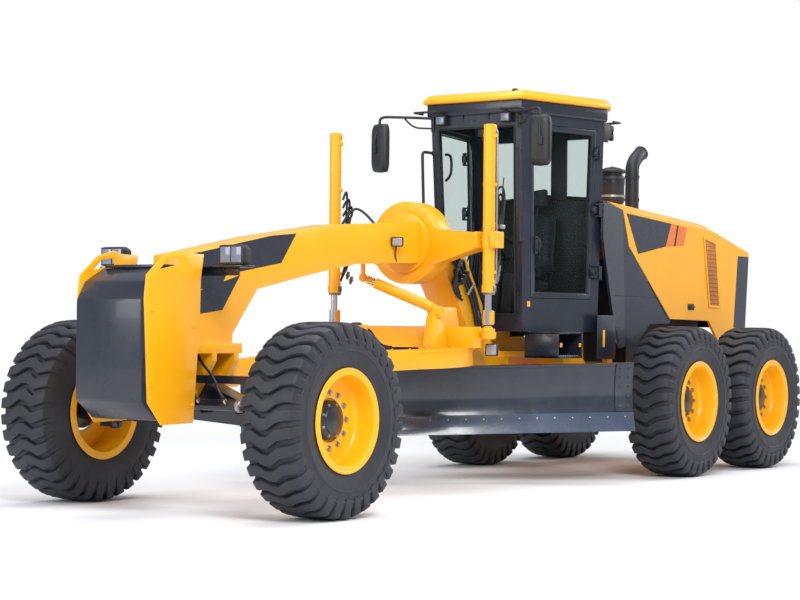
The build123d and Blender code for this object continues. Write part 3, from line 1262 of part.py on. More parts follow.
# ---------------------------------------------------------------- moldboard
BLADE_BOTTOM = -BLADE_DROP
BLADE_TOP = BLADE_BOTTOM + BLADE_HEIGHT
ARC_BOTTOM = BLADE_BOTTOM + 30.0   # the cutting edge reaches below the moldboard
ARC_Z = (ARC_BOTTOM + BLADE_TOP) / 2
ARC_Y = -BLADE_BACK + (BLADE_ARC_R**2 - ((BLADE_TOP - ARC_BOTTOM) / 2) ** 2) ** 0.5
RAILS_LENGTH = 2100.0


def blade_face(z, wall=0.0):
    """Front face of the moldboard at a height, or the face a wall behind it."""
    return ARC_Y - ((BLADE_ARC_R + wall) ** 2 - (z - ARC_Z) ** 2) ** 0.5


with BuildPart() as moldboard:
    with BuildSketch(blade_cross(-BLADE_LEFT)):
        with BuildLine():
            front = ThreePointArc((blade_face(ARC_BOTTOM), ARC_BOTTOM), (blade_face(ARC_Z), ARC_Z),
                                  (blade_face(BLADE_TOP), BLADE_TOP))
            back = ThreePointArc((blade_face(BLADE_TOP, BLADE_WALL), BLADE_TOP), (blade_face(ARC_Z, BLADE_WALL), ARC_Z),
                                 (blade_face(ARC_BOTTOM, BLADE_WALL), ARC_BOTTOM))
            Line(front @ 1, back @ 0)
            Line(back @ 1, front @ 0)
        make_face()
    extrude(amount=BLADE_LENGTH)
    mid_x = (BLADE_LENGTH - 2 * BLADE_LEFT) / 2
    for z in (RAIL_LOW_Z, RAIL_HIGH_Z):
        with BuildSketch(blade_cross(mid_x - RAILS_LENGTH / 2)):
            with Locations(((RAIL_Y0 + RAIL_Y1) / 2, z)):
                Rectangle(RAIL_Y1 - RAIL_Y0, RAIL_H)
            with Locations(((RAIL_Y1 + RAIL_WEB_Y) / 2 - 5, z)):
                Rectangle(RAIL_WEB_Y - RAIL_Y1 + 10, RAIL_WEB_T)
        extrude(amount=RAILS_LENGTH)
    # lug of the side shift rod
    with BuildSketch(blade_cross(-1170)):
        with Locations((-585, SHIFT_CYL[1])):
            Rectangle(110, 90)
    extrude(amount=24)
moldboard.part.label = "moldboard"
export_step(moldboard.part, "parts/moldboard.step")

with BuildPart() as side_shift_rod:
    with BuildSketch(blade_cross(-1146 + SEAT)):
        with Locations(SHIFT_CYL):
            Circle(SIDE_ROD_R)
    extrude(amount=1146 - SEAT - 200)
side_shift_rod.part.label = "side_shift_rod"
export_step(side_shift_rod.part, "parts/side_shift_rod.step")

# flat edge laid against the moldboard's foot, touching it at two heights
EDGE_LOW = Vector(blade_face(ARC_BOTTOM) + SEAT, ARC_BOTTOM)
EDGE_HIGH = Vector(blade_face(BLADE_BOTTOM + EDGE_HEIGHT) + SEAT, BLADE_BOTTOM + EDGE_HEIGHT)
EDGE_RUN = (EDGE_LOW - EDGE_HIGH).normalized()
EDGE_NORMAL = Vector(-EDGE_RUN.Y, EDGE_RUN.X)
EDGE_TIP = EDGE_HIGH + EDGE_RUN * ((BLADE_BOTTOM - EDGE_HIGH.Y) / EDGE_RUN.Y)
with BuildPart() as cutting_edge:
    with BuildSketch(blade_cross(-BLADE_LEFT)):
        with BuildLine():
            Polyline(
                (EDGE_TIP.X, EDGE_TIP.Y),
                (EDGE_HIGH.X, EDGE_HIGH.Y),
                (EDGE_HIGH.X + EDGE_NORMAL.X * EDGE_WALL, EDGE_HIGH.Y + EDGE_NORMAL.Y * EDGE_WALL),
                (EDGE_TIP.X + EDGE_WALL / EDGE_NORMAL.X, EDGE_TIP.Y),
                close=True,
            )
        make_face()
    extrude(amount=BLADE_LENGTH)
cutting_edge.part.label = "cutting_edge"
export_step(cutting_edge.part, "parts/cutting_edge.step")
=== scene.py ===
"""Looks for the motor grader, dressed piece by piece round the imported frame.

Places are in millimetres: ahead of the tandems' middle, to the machine's left and up.
"""
import logging
import math
from dataclasses import dataclass
from enum import Enum
from typing import Iterable, Sequence

import bpy
from mathutils import Matrix, Vector


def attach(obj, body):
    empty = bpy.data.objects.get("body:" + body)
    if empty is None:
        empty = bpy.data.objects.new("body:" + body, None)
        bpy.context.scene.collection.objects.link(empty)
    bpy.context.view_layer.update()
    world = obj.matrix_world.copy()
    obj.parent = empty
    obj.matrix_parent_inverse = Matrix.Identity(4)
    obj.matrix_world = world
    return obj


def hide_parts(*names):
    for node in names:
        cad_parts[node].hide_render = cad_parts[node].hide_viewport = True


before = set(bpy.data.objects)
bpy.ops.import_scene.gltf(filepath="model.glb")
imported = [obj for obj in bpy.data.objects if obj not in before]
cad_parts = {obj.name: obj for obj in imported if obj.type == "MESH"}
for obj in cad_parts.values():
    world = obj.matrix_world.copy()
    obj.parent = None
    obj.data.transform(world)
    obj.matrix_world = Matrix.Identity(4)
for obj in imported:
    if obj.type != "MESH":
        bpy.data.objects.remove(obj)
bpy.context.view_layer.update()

LOG = logging.getLogger("grader")
MM = 0.001
TANDEM_X = -2.6                             # tandems' middle, in metres from the machine's
AXLE_Z = 670
FRONT_X, TANDEM_REACH = 6120.0, 770.0       # front axle, and each tandem axle from their middle
LIFT_X, LIFT_Y = 3490, 765
SADDLE_Z = 1996
STEER_X = 6375
CAB_FOOT, CAB_RISE = 1280.0, 1870.0
X_AXIS, Y_AXIS, Z_AXIS = (1, 0, 0), (0, 1, 0), (0, 0, 1)
SIDES = (("left", 1), ("right", -1))
Point = Sequence[float]
Place = Vector | Point                      # metres as a Vector, or three millimetre numbers
Value = bpy.types.NodeSocket | Point | float
Piece = bpy.types.Object


def st(x: float, y: float, z: float) -> Vector:
    """Turns a station, a side offset and a height in millimetres into metres."""
    return Vector((TANDEM_X + x * MM, y * MM, z * MM))


def at(place: Place) -> Vector:
    """Leaves a vector as it is and turns three millimetre numbers into one."""
    return place if isinstance(place, Vector) else st(*place)


def circle(count: int, shift: float = 0.0) -> list[float]:
    """Angles of evenly spaced things, turned by a share of their spacing."""
    return [math.tau * (k + shift) / count for k in range(count)]


# ------------------------------------------------------------------ finishes
class Grain(Enum):
    """How a surface is broken up close to: features per metre and strength."""

    ORANGE_PEEL = (900.0, 0.02)
    MOULDED = (420.0, 0.12)
    CAST = (160.0, 0.25)
    RUBBER = (260.0, 0.30)
    BRUSHED = (300.0, 0.05)
    SMOOTH = (60.0, 0.0)


class Net:
    """Small helper that lays out the nodes of a material or a world."""

    def __init__(self, owner: bpy.types.Material | bpy.types.World, output: str = "OutputMaterial") -> None:
        """Clears the owner's nodes and adds its output and Object coordinates."""
        self.owner = owner
        owner.use_nodes = True
        self.tree = owner.node_tree
        self.tree.nodes.clear()
        self.out = self.add(output)
        self.place = self.add("TexCoord").outputs["Object"]

    def fill(self, socket: bpy.types.NodeSocket, value: Value) -> None:
        """Links a socket to another one, or sets its plain value."""
        if isinstance(value, bpy.types.NodeSocket):
            self.tree.links.new(value, socket)
        else:
            socket.default_value = value

    def add(self, kind: str, *first: Value, **named: Value) -> bpy.types.Node:
        """Adds a node and fills its inputs.

        Args:
            kind: type of the node without its prefix.
            first: sockets or values for its first inputs.
            named: the same by the input's name, with underscores for spaces.

        Returns:
            The node.
        """
        node = self.tree.nodes.new(f"ShaderNode{kind}")
        for socket, value in zip(node.inputs, first):
            self.fill(socket, value)
        for name, value in named.items():
            self.fill(node.inputs[name.replace("_", " ")], value)
        return node

    def noise(self, scale: float, detail: float) -> bpy.types.NodeSocket:
        """Adds a noise on Object coordinates, with its features per metre and octaves."""
        return self.add("TexNoise", Vector=self.place, Scale=scale, Detail=detail).outputs[0]

    def ramp(self, source: bpy.types.NodeSocket, stops: Iterable[tuple[float, Point]]) -> bpy.types.NodeSocket:
        """Adds a ramp between two colours and returns its colour socket."""
        node = self.add("ValToRGB", source)
        for element, (place, colour) in zip(node.color_ramp.elements, stops):
            element.position = place
            element.color = (*colour, 1.0)
        return node.outputs[0]

    def math(self, operation: str, first: Value, second: Value, clamp: bool = False) -> bpy.types.NodeSocket:
        """Adds a Math node on two sockets or numbers."""
        node = self.add("Math", first, second)
        node.operation = operation
        node.use_clamp = clamp
        return node.outputs[0]


@dataclass(frozen=True)
class Finish:
    """A surface finish, made into a node material once and shared by its pieces."""

    name: str
    colour: Point
    shade: float = 0.12            # how far the colour wanders from place to place
    roughness: float = 0.4
    rough_range: float = 0.1
    metallic: float = 0.0
    coat: float = 0.0
    grain: Grain = Grain.ORANGE_PEEL
    slot: str = "charcoal_paint"   # the record's slot that it belongs to
    low_painted_light: float = 0.0              # how much painted light, a lighter colour, shows near the ground
    # colour of the painted light near the ground
    low_light_colour: Point = (0.30, 0.25, 0.19)

    def material(self) -> bpy.types.Material:
        """Returns this finish's material, making it the first time."""
        name = f"look_{self.name}"
        made = bpy.data.materials.get(name)
        if made is None:
            made = bpy.data.materials.new(name)
            net = Net(made)
            net.fill(net.out.inputs[0], self.paint(net))
        return made

    def paint(self, net: Net) -> bpy.types.NodeSocket:
        """Lays out the surface's nodes and returns the shader's socket."""
        low = [c * (1.0 - self.shade) for c in self.colour]
        high = [min(1.0, c * (1.0 + self.shade * 0.6)) for c in self.colour]
        tint = net.ramp(net.noise(2.3, 5.0), ((0.32, low), (0.68, high)))
        # painted light: a lighter colour mixed in patchily towards the bottom, standing for light falling on the
        # lower part
        if self.low_painted_light:
            height = net.add("SeparateXYZ", net.place).outputs["Z"]
            foot = net.math("MULTIPLY", net.math("SUBTRACT", height, 1.25), -0.9, clamp=True)
            patchy_low_light = net.math("MULTIPLY", foot, net.noise(9.0, 6.0))
            blend = net.add("Mix")
            blend.data_type = "RGBA"
            for key, value in ((0, net.math("MULTIPLY", patchy_low_light, self.low_painted_light)), (6, tint), (7, (*self.low_light_colour, 1.0))):
                net.fill(blend.inputs[key], value)
            tint = blend.outputs[2]
        rough = net.add("MapRange", To_Min=max(0.02, self.roughness - self.rough_range),
                        To_Max=min(1.0, self.roughness + self.rough_range), Value=net.noise(14.0, 6.0))
        shader = net.add("BsdfPrincipled", Base_Color=tint, Roughness=rough.outputs[0], Metallic=self.metallic,
                         Coat_Weight=self.coat, Coat_Roughness=0.08)
        scale, strength = self.grain.value
        if strength:
            bump = net.add("Bump", Strength=strength, Distance=0.002, Height=net.noise(scale, 3.0))
            net.fill(shader.inputs["Normal"], bump.outputs[0])
        return shader.outputs[0]


@dataclass(frozen=True)
class GlassFinish(Finish):
    """Tinted glazing that lets the far side show through."""

    clearness: float = 0.95

    def paint(self, net: Net) -> bpy.types.NodeSocket:
        """Lays out a thin tint under a sharp gloss and returns the shader's socket."""
        tint = net.ramp(net.noise(1.7, 3.0), ((0.3, [c * 0.99 for c in self.colour]), (0.7, self.colour)))
        clear = net.add("BsdfTransparent", Color=tint)
        smear = net.add("MapRange", To_Min=0.02, To_Max=0.08, Value=net.noise(6.0, 5.0))
        gloss = net.add("BsdfPrincipled", Base_Color=(0.02, 0.04, 0.04, 1.0), Roughness=smear.outputs[0], IOR=1.45)
        net.owner.surface_render_method = "DITHERED"
        return net.add("MixShader", 1.0 - self.clearness, clear.outputs[0], gloss.outputs[0]).outputs[0]


YELLOW = Finish("yellow_paint", (0.93, 0.405, 0.001), 0.04, 0.36, coat=0.12, slot="yellow_paint")
RIM_YELLOW = Finish("rim_yellow", (0.96, 0.44, 0.001), 0.04, 0.36, coat=0.12, slot="rim_paint")
ORANGE = Finish("orange_stripe", (0.80, 0.17, 0.004), 0.05, 0.32, coat=0.3, slot="yellow_paint")
CHARCOAL = Finish("charcoal_paint", (0.013, 0.018, 0.030), 0.18, 0.30, coat=0.25)
DECAL = Finish("charcoal_film", (0.012, 0.016, 0.028), 0.1, 0.28, coat=0.3, grain=Grain.SMOOTH)
# the blade's paint carries painted light: its lower part is lightened towards blue-grey, standing for the light on it
BLADE_PAINT = Finish("blade_paint", (0.013, 0.017, 0.030), 0.25, 0.24, coat=0.4, grain=Grain.SMOOTH, low_painted_light=0.35,
                     low_light_colour=(0.12, 0.16, 0.24))
WORN_PAINT = Finish("worn_paint", (0.060, 0.080, 0.125), 0.35, 0.26, coat=0.4, grain=Grain.BRUSHED)
TYRE = Finish("tyre_rubber", (0.019, 0.022, 0.029), 0.3, 0.6, 0.14, grain=Grain.RUBBER, slot="tyre_rubber")
HUB_BLACK = Finish("hub_black", (0.012, 0.014, 0.020), 0.2, 0.35, coat=0.2)
PLASTIC = Finish("black_plastic", (0.012, 0.013, 0.016), 0.2, 0.5, grain=Grain.MOULDED, slot="black_plastic")
HOSE = Finish("hose_rubber", (0.010, 0.011, 0.013), 0.3, 0.45, grain=Grain.MOULDED, slot="black_plastic")
SEAL = Finish("window_seal", (0.008, 0.008, 0.010), 0.2, 0.6, grain=Grain.MOULDED, slot="black_plastic")
CHROME = Finish("rod_chrome", (0.78, 0.79, 0.82), 0.05, 0.12, 0.05, 1.0, grain=Grain.SMOOTH, slot="rod_chrome")
FOG = Finish("grey_lens", (0.36, 0.34, 0.33), 0.3, 0.15, 0.05, coat=0.5, grain=Grain.BRUSHED, slot="tinted_glass")
STEEL = Finish("bare_steel", (0.30, 0.29, 0.28), 0.35, 0.42, 0.16, 0.9, grain=Grain.CAST, slot="edge_steel")
BOLT = Finish("zinc_bolt", (0.42, 0.42, 0.40), 0.2, 0.35, metallic=0.9, grain=Grain.CAST, slot="edge_steel")
BRASS = Finish("brass_fitting", (0.70, 0.52, 0.28), 0.2, 0.3, metallic=1.0, grain=Grain.SMOOTH, slot="edge_steel")
CAST_BLACK = Finish("cast_black", (0.016, 0.018, 0.023), 0.3, 0.5, grain=Grain.CAST)
FABRIC = Finish("seat_cloth", (0.022, 0.023, 0.028), 0.3, 0.9, grain=Grain.RUBBER, slot="seat_fabric")
LENS = Finish("lamp_lens", (0.17, 0.20, 0.27), 0.25, 0.12, 0.04, coat=0.6, grain=Grain.BRUSHED, slot="tinted_glass")
MIRROR = Finish("mirror_face", (0.80, 0.82, 0.84), 0.04, 0.03, 0.02, 1.0, grain=Grain.SMOOTH, slot="rod_chrome")
REFLECTOR = Finish("amber_reflector", (0.90, 0.36, 0.02), 0.1, 0.2, coat=0.5, grain=Grain.BRUSHED,
                   slot="yellow_paint")
RED_LENS = Finish("red_lens", (0.55, 0.02, 0.015), 0.1, 0.15, coat=0.5, grain=Grain.BRUSHED, slot="tinted_glass")
# darker copy of the yellow paint: painted shade on the louvre's recessed bed and slats
LOUVRE = Finish("louvre_painted_shade", (0.46, 0.15, 0.012), 0.3, 0.5, grain=Grain.CAST, slot="yellow_paint")
GLASS = GlassFinish("tinted_glass", (0.90, 0.935, 0.93), slot="tinted_glass")


# ------------------------------------------------------------------ stage
def set_stage() -> None:
    """Builds the camera, the pale floor and the soft studio light."""
    scene = bpy.context.scene
    scene.view_settings.view_transform = "Standard"
    lens = bpy.data.cameras.new("camera")
    lens.lens, lens.sensor_width, lens.clip_end = 90.6, 36.0, 200.0
    camera = bpy.data.objects.new("camera", lens)
    forward = Vector((-0.8209, -0.5709, 0.01379)).normalized()
    right = forward.cross(Vector((0.0171, -0.0004, 0.9998))).normalized()
    turn = Matrix((right, right.cross(forward), -forward)).transposed()
    camera.matrix_world = Matrix.Translation((17.068 + TANDEM_X, 9.345, 1.302)) @ turn.to_4x4()
    scene.collection.objects.link(camera)
    scene.camera = camera

    white = Net(bpy.data.materials.new("studio_white"))
    tone = white.ramp(white.noise(0.5, 2.0), ((0.3, (0.86, 0.86, 0.86)), (0.7, (0.88, 0.88, 0.88))))
    ground = white.add("BsdfPrincipled", Base_Color=tone, Roughness=0.9)
    # past the shadow the floor runs out into the white surroundings
    distance = white.add("VectorMath", white.place)
    distance.operation = "LENGTH"
    fade = white.add("MapRange", From_Min=5.0, From_Max=9.0, Value=distance.outputs["Value"])
    fade.interpolation_type = "SMOOTHSTEP"
    share = white.math("MULTIPLY", fade.outputs[0], white.add("LightPath").outputs["Is Camera Ray"])
    blend = white.add("MixShader", share, ground.outputs[0], white.add("Emission").outputs[0])
    white.fill(white.out.inputs[0], blend.outputs[0])
    bpy.ops.mesh.primitive_plane_add(size=120.0, location=(0, 0, -0.002))
    floor = bpy.context.object
    floor.name = "floor"
    floor.data.materials.append(white.owner)

    scene.world = bpy.data.worlds.new("studio")
    sky = Net(scene.world, "OutputWorld")
    rays = sky.add("LightPath").outputs
    seen = sky.math("MAXIMUM", rays["Is Camera Ray"], rays["Is Transmission Ray"])
    lit = sky.add("Background", (0.86, 0.90, 1.0, 1.0), 0.55)
    plain = sky.add("Background", (1.0, 1.0, 1.0, 1.0), 1.0)
    sky.fill(sky.out.inputs[0], sky.add("MixShader", seen, lit.outputs[0], plain.outputs[0]).outputs[0])

    lamps = (                  # name, place, aim, size, power
        ("key", (10.0, 9.0, 9.0), (0.5, 0.0, 1.2), 5.0, 1500.0),
        ("fill", (14.0, -4.0, 5.0), (1.0, 0.0, 1.2), 6.0, 500.0),
        ("back", (-12.0, 6.0, 8.0), (-1.0, 0.0, 1.5), 6.0, 700.0),
        ("top", (0.0, 0.0, 12.0), (0.0, 0.0, 1.0), 9.0, 900.0),
    )
    for name, place, aim, size, power in lamps:
        data = bpy.data.lights.new(name, "AREA")
        data.size, data.energy = size, power
        lamp = bpy.data.objects.new(name, data)
        lamp.location = place
        lamp.rotation_euler = (Vector(aim) - Vector(place)).to_track_quat("-Z", "Y").to_euler()
        scene.collection.objects.link(lamp)


# ------------------------------------------------------------------ modelling
def only(*objects: Piece) -> None:
    """Selects these objects alone, the first of them active."""
    bpy.ops.object.select_all(action="DESELECT")
    for obj in objects:
        obj.select_set(True)
    bpy.context.view_layer.objects.active = objects[0]


def edit_all(obj: Piece, kind: str = "FACE") -> None:
    """Opens an object in edit mode with its whole mesh selected."""
    only(obj)
    bpy.ops.object.mode_set(mode="EDIT")
    bpy.ops.mesh.select_mode(type=kind)
    bpy.ops.mesh.select_all(action="SELECT")


def close_edit() -> None:
    """Turns every face outwards and leaves edit mode."""
    bpy.ops.mesh.select_all(action="SELECT")
    bpy.ops.mesh.normals_make_consistent(inside=False)
    bpy.ops.object.mode_set(mode="OBJECT")


def modify(obj: Piece, kind: str, **settings: object) -> Piece:
    """Adds a modifier, sets it and applies it."""
    only(obj)
    modifier = obj.modifiers.new(kind.lower(), kind)
    for key, value in settings.items():
        setattr(modifier, key, value)
    bpy.ops.object.modifier_apply(modifier=modifier.name)
    return obj


def bevel(obj: Piece, width: float, segments: int = 2, angle: float = 32.0) -> Piece:
    """Rounds an object's edges that are sharper than an angle, by a width in millimetres."""
    return modify(obj, "BEVEL", width=width * MM, segments=segments, limit_method="ANGLE",
                  angle_limit=math.radians(angle), harden_normals=False)


def loop(points: Iterable[Place], fill: str = "NGON") -> Piece:
    """Adds a ring of vertices, filled or not, and moves each one to its point."""
    points = [at(point) for point in points]
    bpy.ops.object.select_all(action="DESELECT")
    bpy.ops.mesh.primitive_circle_add(vertices=len(points), radius=1.0, fill_type=fill, location=(0, 0, 0))
    obj = bpy.context.object
    for vertex, point in zip(obj.data.vertices, points):
        vertex.co = point
    return obj


def prism(points: Iterable[Place], depth: Vector, round_by: float = 3.0) -> Piece:
    """Extrudes an outline by a depth in metres and rounds its edges by millimetres."""
    obj = loop(points)
    edit_all(obj)
    bpy.ops.mesh.extrude_region_move(TRANSFORM_OT_translate={"value": tuple(depth)})
    close_edit()
    return bevel(obj, round_by) if round_by else obj


def slab(axis: int, outline: Iterable[Point], start: float, end: float, round_by: float = 3.0) -> Piece:
    """Prism along X, Y or Z (0 to 2) from an outline of the other two coordinates."""
    depth = Vector()
    depth[axis] = (end - start) * MM
    return prism([(*p[:axis], start, *p[axis:]) for p in outline], depth, round_by)


def block(centre: Place, size: Point, round_by: float = 4.0, turn: Point = (0, 0, 0), taper: Point = (1, 1)) -> Piece:
    """Box with rounded edges, its top narrowed.

    Args:
        centre: its middle.
        size: length, width and height in millimetres.
        round_by: edge radius in millimetres.
        turn: turn about X, Y and Z in degrees.
        taper: scale of the top face along its two sides.

    Returns:
        The new object, its place in its mesh.
    """
    bpy.ops.object.select_all(action="DESELECT")
    bpy.ops.mesh.primitive_cube_add(size=1.0, location=(0, 0, 0))
    obj = bpy.context.object
    for vertex in obj.data.vertices:
        if vertex.co.z > 0:
            vertex.co.x *= taper[0]
            vertex.co.y *= taper[1]
    obj.scale = [v * MM for v in size]
    obj.rotation_euler = [math.radians(v) for v in turn]
    obj.location = at(centre)
    bpy.ops.object.transform_apply(location=True, rotation=True, scale=True)
    return bevel(obj, min(round_by, 0.45 * min(size)))


def loft(rings: Sequence[Sequence[Place]], round_by: float = 0.0) -> Piece:
    """Bridges rings of equal count into a closed skin, capped at both ends."""
    last = len(rings) - 1
    obj = merge(*[loop(ring, "NGON" if k in (0, last) else "NOTHING") for k, ring in enumerate(rings)])
    edit_all(obj, "EDGE")
    bpy.ops.mesh.bridge_edge_loops(type="SINGLE")
    close_edit()
    return bevel(obj, round_by) if round_by else obj


def lathe(profile: Sequence[Point], centre: Place, axis: Point, steps: int = 48) -> Piece:
    """Spins a closed profile of radii and distances about an axis through a point."""
    centre, axis = at(centre), Vector(axis).normalized()
    side = axis.orthogonal().normalized()
    obj = loop([centre + (side * r + axis * h) * MM for r, h in profile], "NOTHING")
    edit_all(obj, "VERT")
    bpy.ops.mesh.spin(steps=steps, angle=math.tau, center=centre, axis=axis)
    bpy.ops.mesh.select_all(action="SELECT")
    bpy.ops.mesh.remove_doubles(threshold=0.00002)
    bpy.ops.mesh.dissolve_degenerate(threshold=0.00001)
    close_edit()
    return obj


def pipe(points: Sequence[Place], radius: float, closed: bool = False, sides: int = 5) -> Piece:
    """Round tube along a path, its corners rounded by the curve itself."""
    bpy.ops.object.select_all(action="DESELECT")
    bpy.ops.curve.primitive_nurbs_path_add(location=(0, 0, 0))
    curve = bpy.context.object.data
    curve.splines.clear()
    spline = curve.splines.new("NURBS")
    spline.points.add(len(points) - 1)
    for knot, point in zip(spline.points, points):
        knot.co = (*at(point), 1.0)
    spline.order_u = 3
    spline.use_endpoint_u, spline.use_cyclic_u = not closed, closed
    spline.resolution_u = 6
    curve.dimensions = "3D"
    curve.bevel_depth, curve.bevel_resolution = radius * MM, sides
    curve.use_fill_caps = True
    bpy.ops.object.convert(target="MESH")
    obj = bpy.context.object
    edit_all(obj)
    bpy.ops.mesh.remove_doubles(threshold=0.00001)
    close_edit()
    return obj


def copy_at(obj: Piece, matrix: Matrix) -> Piece:
    """Copies an object, its mesh moved by a matrix."""
    twin = obj.copy()
    twin.data = obj.data.copy()
    twin.data.transform(matrix)
    bpy.context.scene.collection.objects.link(twin)
    return twin


def merge(*objects: Piece) -> Piece:
    """Joins objects into the first of them."""
    if len(objects) > 1:
        only(*objects)
        bpy.ops.object.join()
    return objects[0]


def bolts(spots: Iterable[tuple[Place, Point]], size: float, washer: bool = True) -> Piece:
    """Hexagon heads joined into one object.

    Args:
        spots: where each head sits and which way it points.
        size: radius of the hexagon in millimetres.
        washer: whether a washer lies under each head.

    Returns:
        The joined object.
    """
    bpy.ops.object.select_all(action="DESELECT")
    bpy.ops.mesh.primitive_cylinder_add(vertices=6, radius=size * MM, depth=1.3 * size * MM,
                                        location=(0, 0, 0.5 * size * MM))
    head = bpy.context.object
    bpy.ops.object.transform_apply(location=True, rotation=False, scale=False)
    bevel(head, size * 0.14)
    if washer:
        bpy.ops.mesh.primitive_cylinder_add(vertices=16, radius=1.45 * size * MM, depth=0.5 * size * MM,
                                            location=(0, 0, 0))
        head = merge(head, bevel(bpy.context.object, size * 0.1, 1))
    made = [copy_at(head, Matrix.Translation(at(place)) @ Vector(way).to_track_quat("Z", "Y").to_matrix().to_4x4())
            for place, way in spots]
    bpy.data.objects.remove(head)
    return merge(*made)


def cad_copy(node: str) -> Piece:
    """Copies a CAD node's mesh into a new object, merged so that it can be shaped."""
    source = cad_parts[node]
    twin = source.copy()
    twin.data = source.data.copy()
    twin.animation_data_clear()
    for key in list(twin.keys()):
        del twin[key]
    twin.parent = None
    twin.matrix_world = Matrix.Identity(4)
    bpy.context.scene.collection.objects.link(twin)
    twin.hide_viewport = twin.hide_render = False
    twin.hide_set(False)
    edit_all(twin)
    bpy.ops.mesh.remove_doubles(threshold=0.00002)
    bpy.ops.mesh.customdata_custom_splitnormals_clear()
    bpy.ops.mesh.dissolve_limited(angle_limit=math.radians(1.0))
    close_edit()
    return twin


def panel(node: str, outline: Sequence[Point], look: Point, thick: float = 1.6, lift: float = 0.2) -> Piece:
    """Thin plate cut from a CAD node's skin, so that it follows the surface under it.

    Args:
        node: CAD node that lends its skin.
        outline: convex outline of stations and heights for a side, or side offsets and heights for an end.
        look: direction that the wanted faces point in, along X or Y.
        thick: thickness in millimetres.
        lift: gap under the plate in millimetres.

    Returns:
        The new object.
    """
    obj, look = cad_copy(node), Vector(look)
    edit_all(obj)
    bpy.ops.mesh.select_all(action="DESELECT")
    bpy.ops.object.mode_set(mode="OBJECT")
    for face in obj.data.polygons:
        face.select = face.normal.dot(look) < 0.55 or look.dot(face.center) < 0.05
    bpy.ops.object.mode_set(mode="EDIT")
    bpy.ops.mesh.delete(type="FACE")
    side = abs(look.y) > 0.5
    corners = [st(u, 0, z) if side else st(0, u, z) for u, z in outline]
    middle = sum(corners, Vector()) / len(corners)
    for start, end in zip(corners, corners[1:] + corners[:1]):
        out = (end - start).cross(Vector(Y_AXIS if side else X_AXIS)).normalized()
        if out.dot(middle - start) > 0:
            out = -out
        bpy.ops.mesh.select_all(action="SELECT")
        bpy.ops.mesh.bisect(plane_co=start, plane_no=out, clear_outer=True, clear_inner=False, use_fill=False)
    close_edit()
    if sum(f.normal.dot(look) for f in obj.data.polygons) < 0:
        obj.data.flip_normals()
    modify(obj, "SOLIDIFY", thickness=thick * MM, offset=1.0)
    obj.data.transform(Matrix.Translation(look * lift * MM))
    return obj


def settle(name: str, body: str, finish: Finish, *parts: Piece, smooth: float = 35.0,
           replaces: Sequence[str] = ()) -> None:
    """Joins a piece's parts, gives it its name, finish and body, and reports it.

    Args:
        name: name of the piece.
        body: body that it rides on.
        finish: its surface.
        parts: what was modelled of it.
        smooth: angle under which edges shade smoothly.
        replaces: CAD nodes that it stands for.
    """
    obj = merge(*parts)
    only(obj)
    bpy.ops.object.shade_smooth_by_angle(angle=math.radians(smooth))
    obj.name = obj.data.name = name
    obj.data.materials.clear()
    obj.data.materials.append(finish.material())
    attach(obj, body)
    if replaces:
        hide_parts(*replaces)
    LOG.info("%s on %s, %d faces", name, body, len(obj.data.polygons))


def rounded(node: str, width: float, body: str, finish: Finish) -> None:
    """Replaces a CAD node by a copy of itself with rounded edges."""
    settle(f"{node}_rounded", body, finish, bevel(cad_copy(node), width, 2, 28.0), replaces=(node,))


@dataclass
class Assembly:
    """A sub-assembly whose pieces ride on one body."""

    body: str = ""

    def add(self, name: str, finish: Finish, *parts: Piece, **how: object) -> None:
        """Settles a piece on the sub-assembly's body."""
        settle(name, self.body, finish, *parts, **how)


def hoop(inner: float, outer: float, height: float, foot: Place, axis: Point = Z_AXIS, steps: int = 32) -> Piece:
    """Flat band of two radii and a height in millimetres, about an axis from its foot."""
    return lathe(((inner, 0), (outer, 0), (outer, height), (inner, height)), foot, axis, steps)


def border(outer: Sequence[Point], inner: Sequence[Point]) -> list[list[Point]]:
    """Splits the border between two outlines of equal count into one strip to each side."""
    turned = [(*outer[1:], outer[0]), (*inner[1:], inner[0])]
    return [list(strip) for strip in zip(outer, *turned, inner)]


def shrunk(outline: Sequence[Point], width: float) -> list[Point]:
    """Moves the sides of a convex outline inwards by a width in millimetres."""
    made = []
    for k, corner in enumerate(outline):
        here = Vector(corner)
        before, after = (Vector(outline[j]) - here for j in (k - 1, (k + 1) % len(outline)))
        way = (before.normalized() + after.normalized()).normalized()
        made.append(tuple(here + way * width / math.sin(before.angle(after) / 2)))
    return made


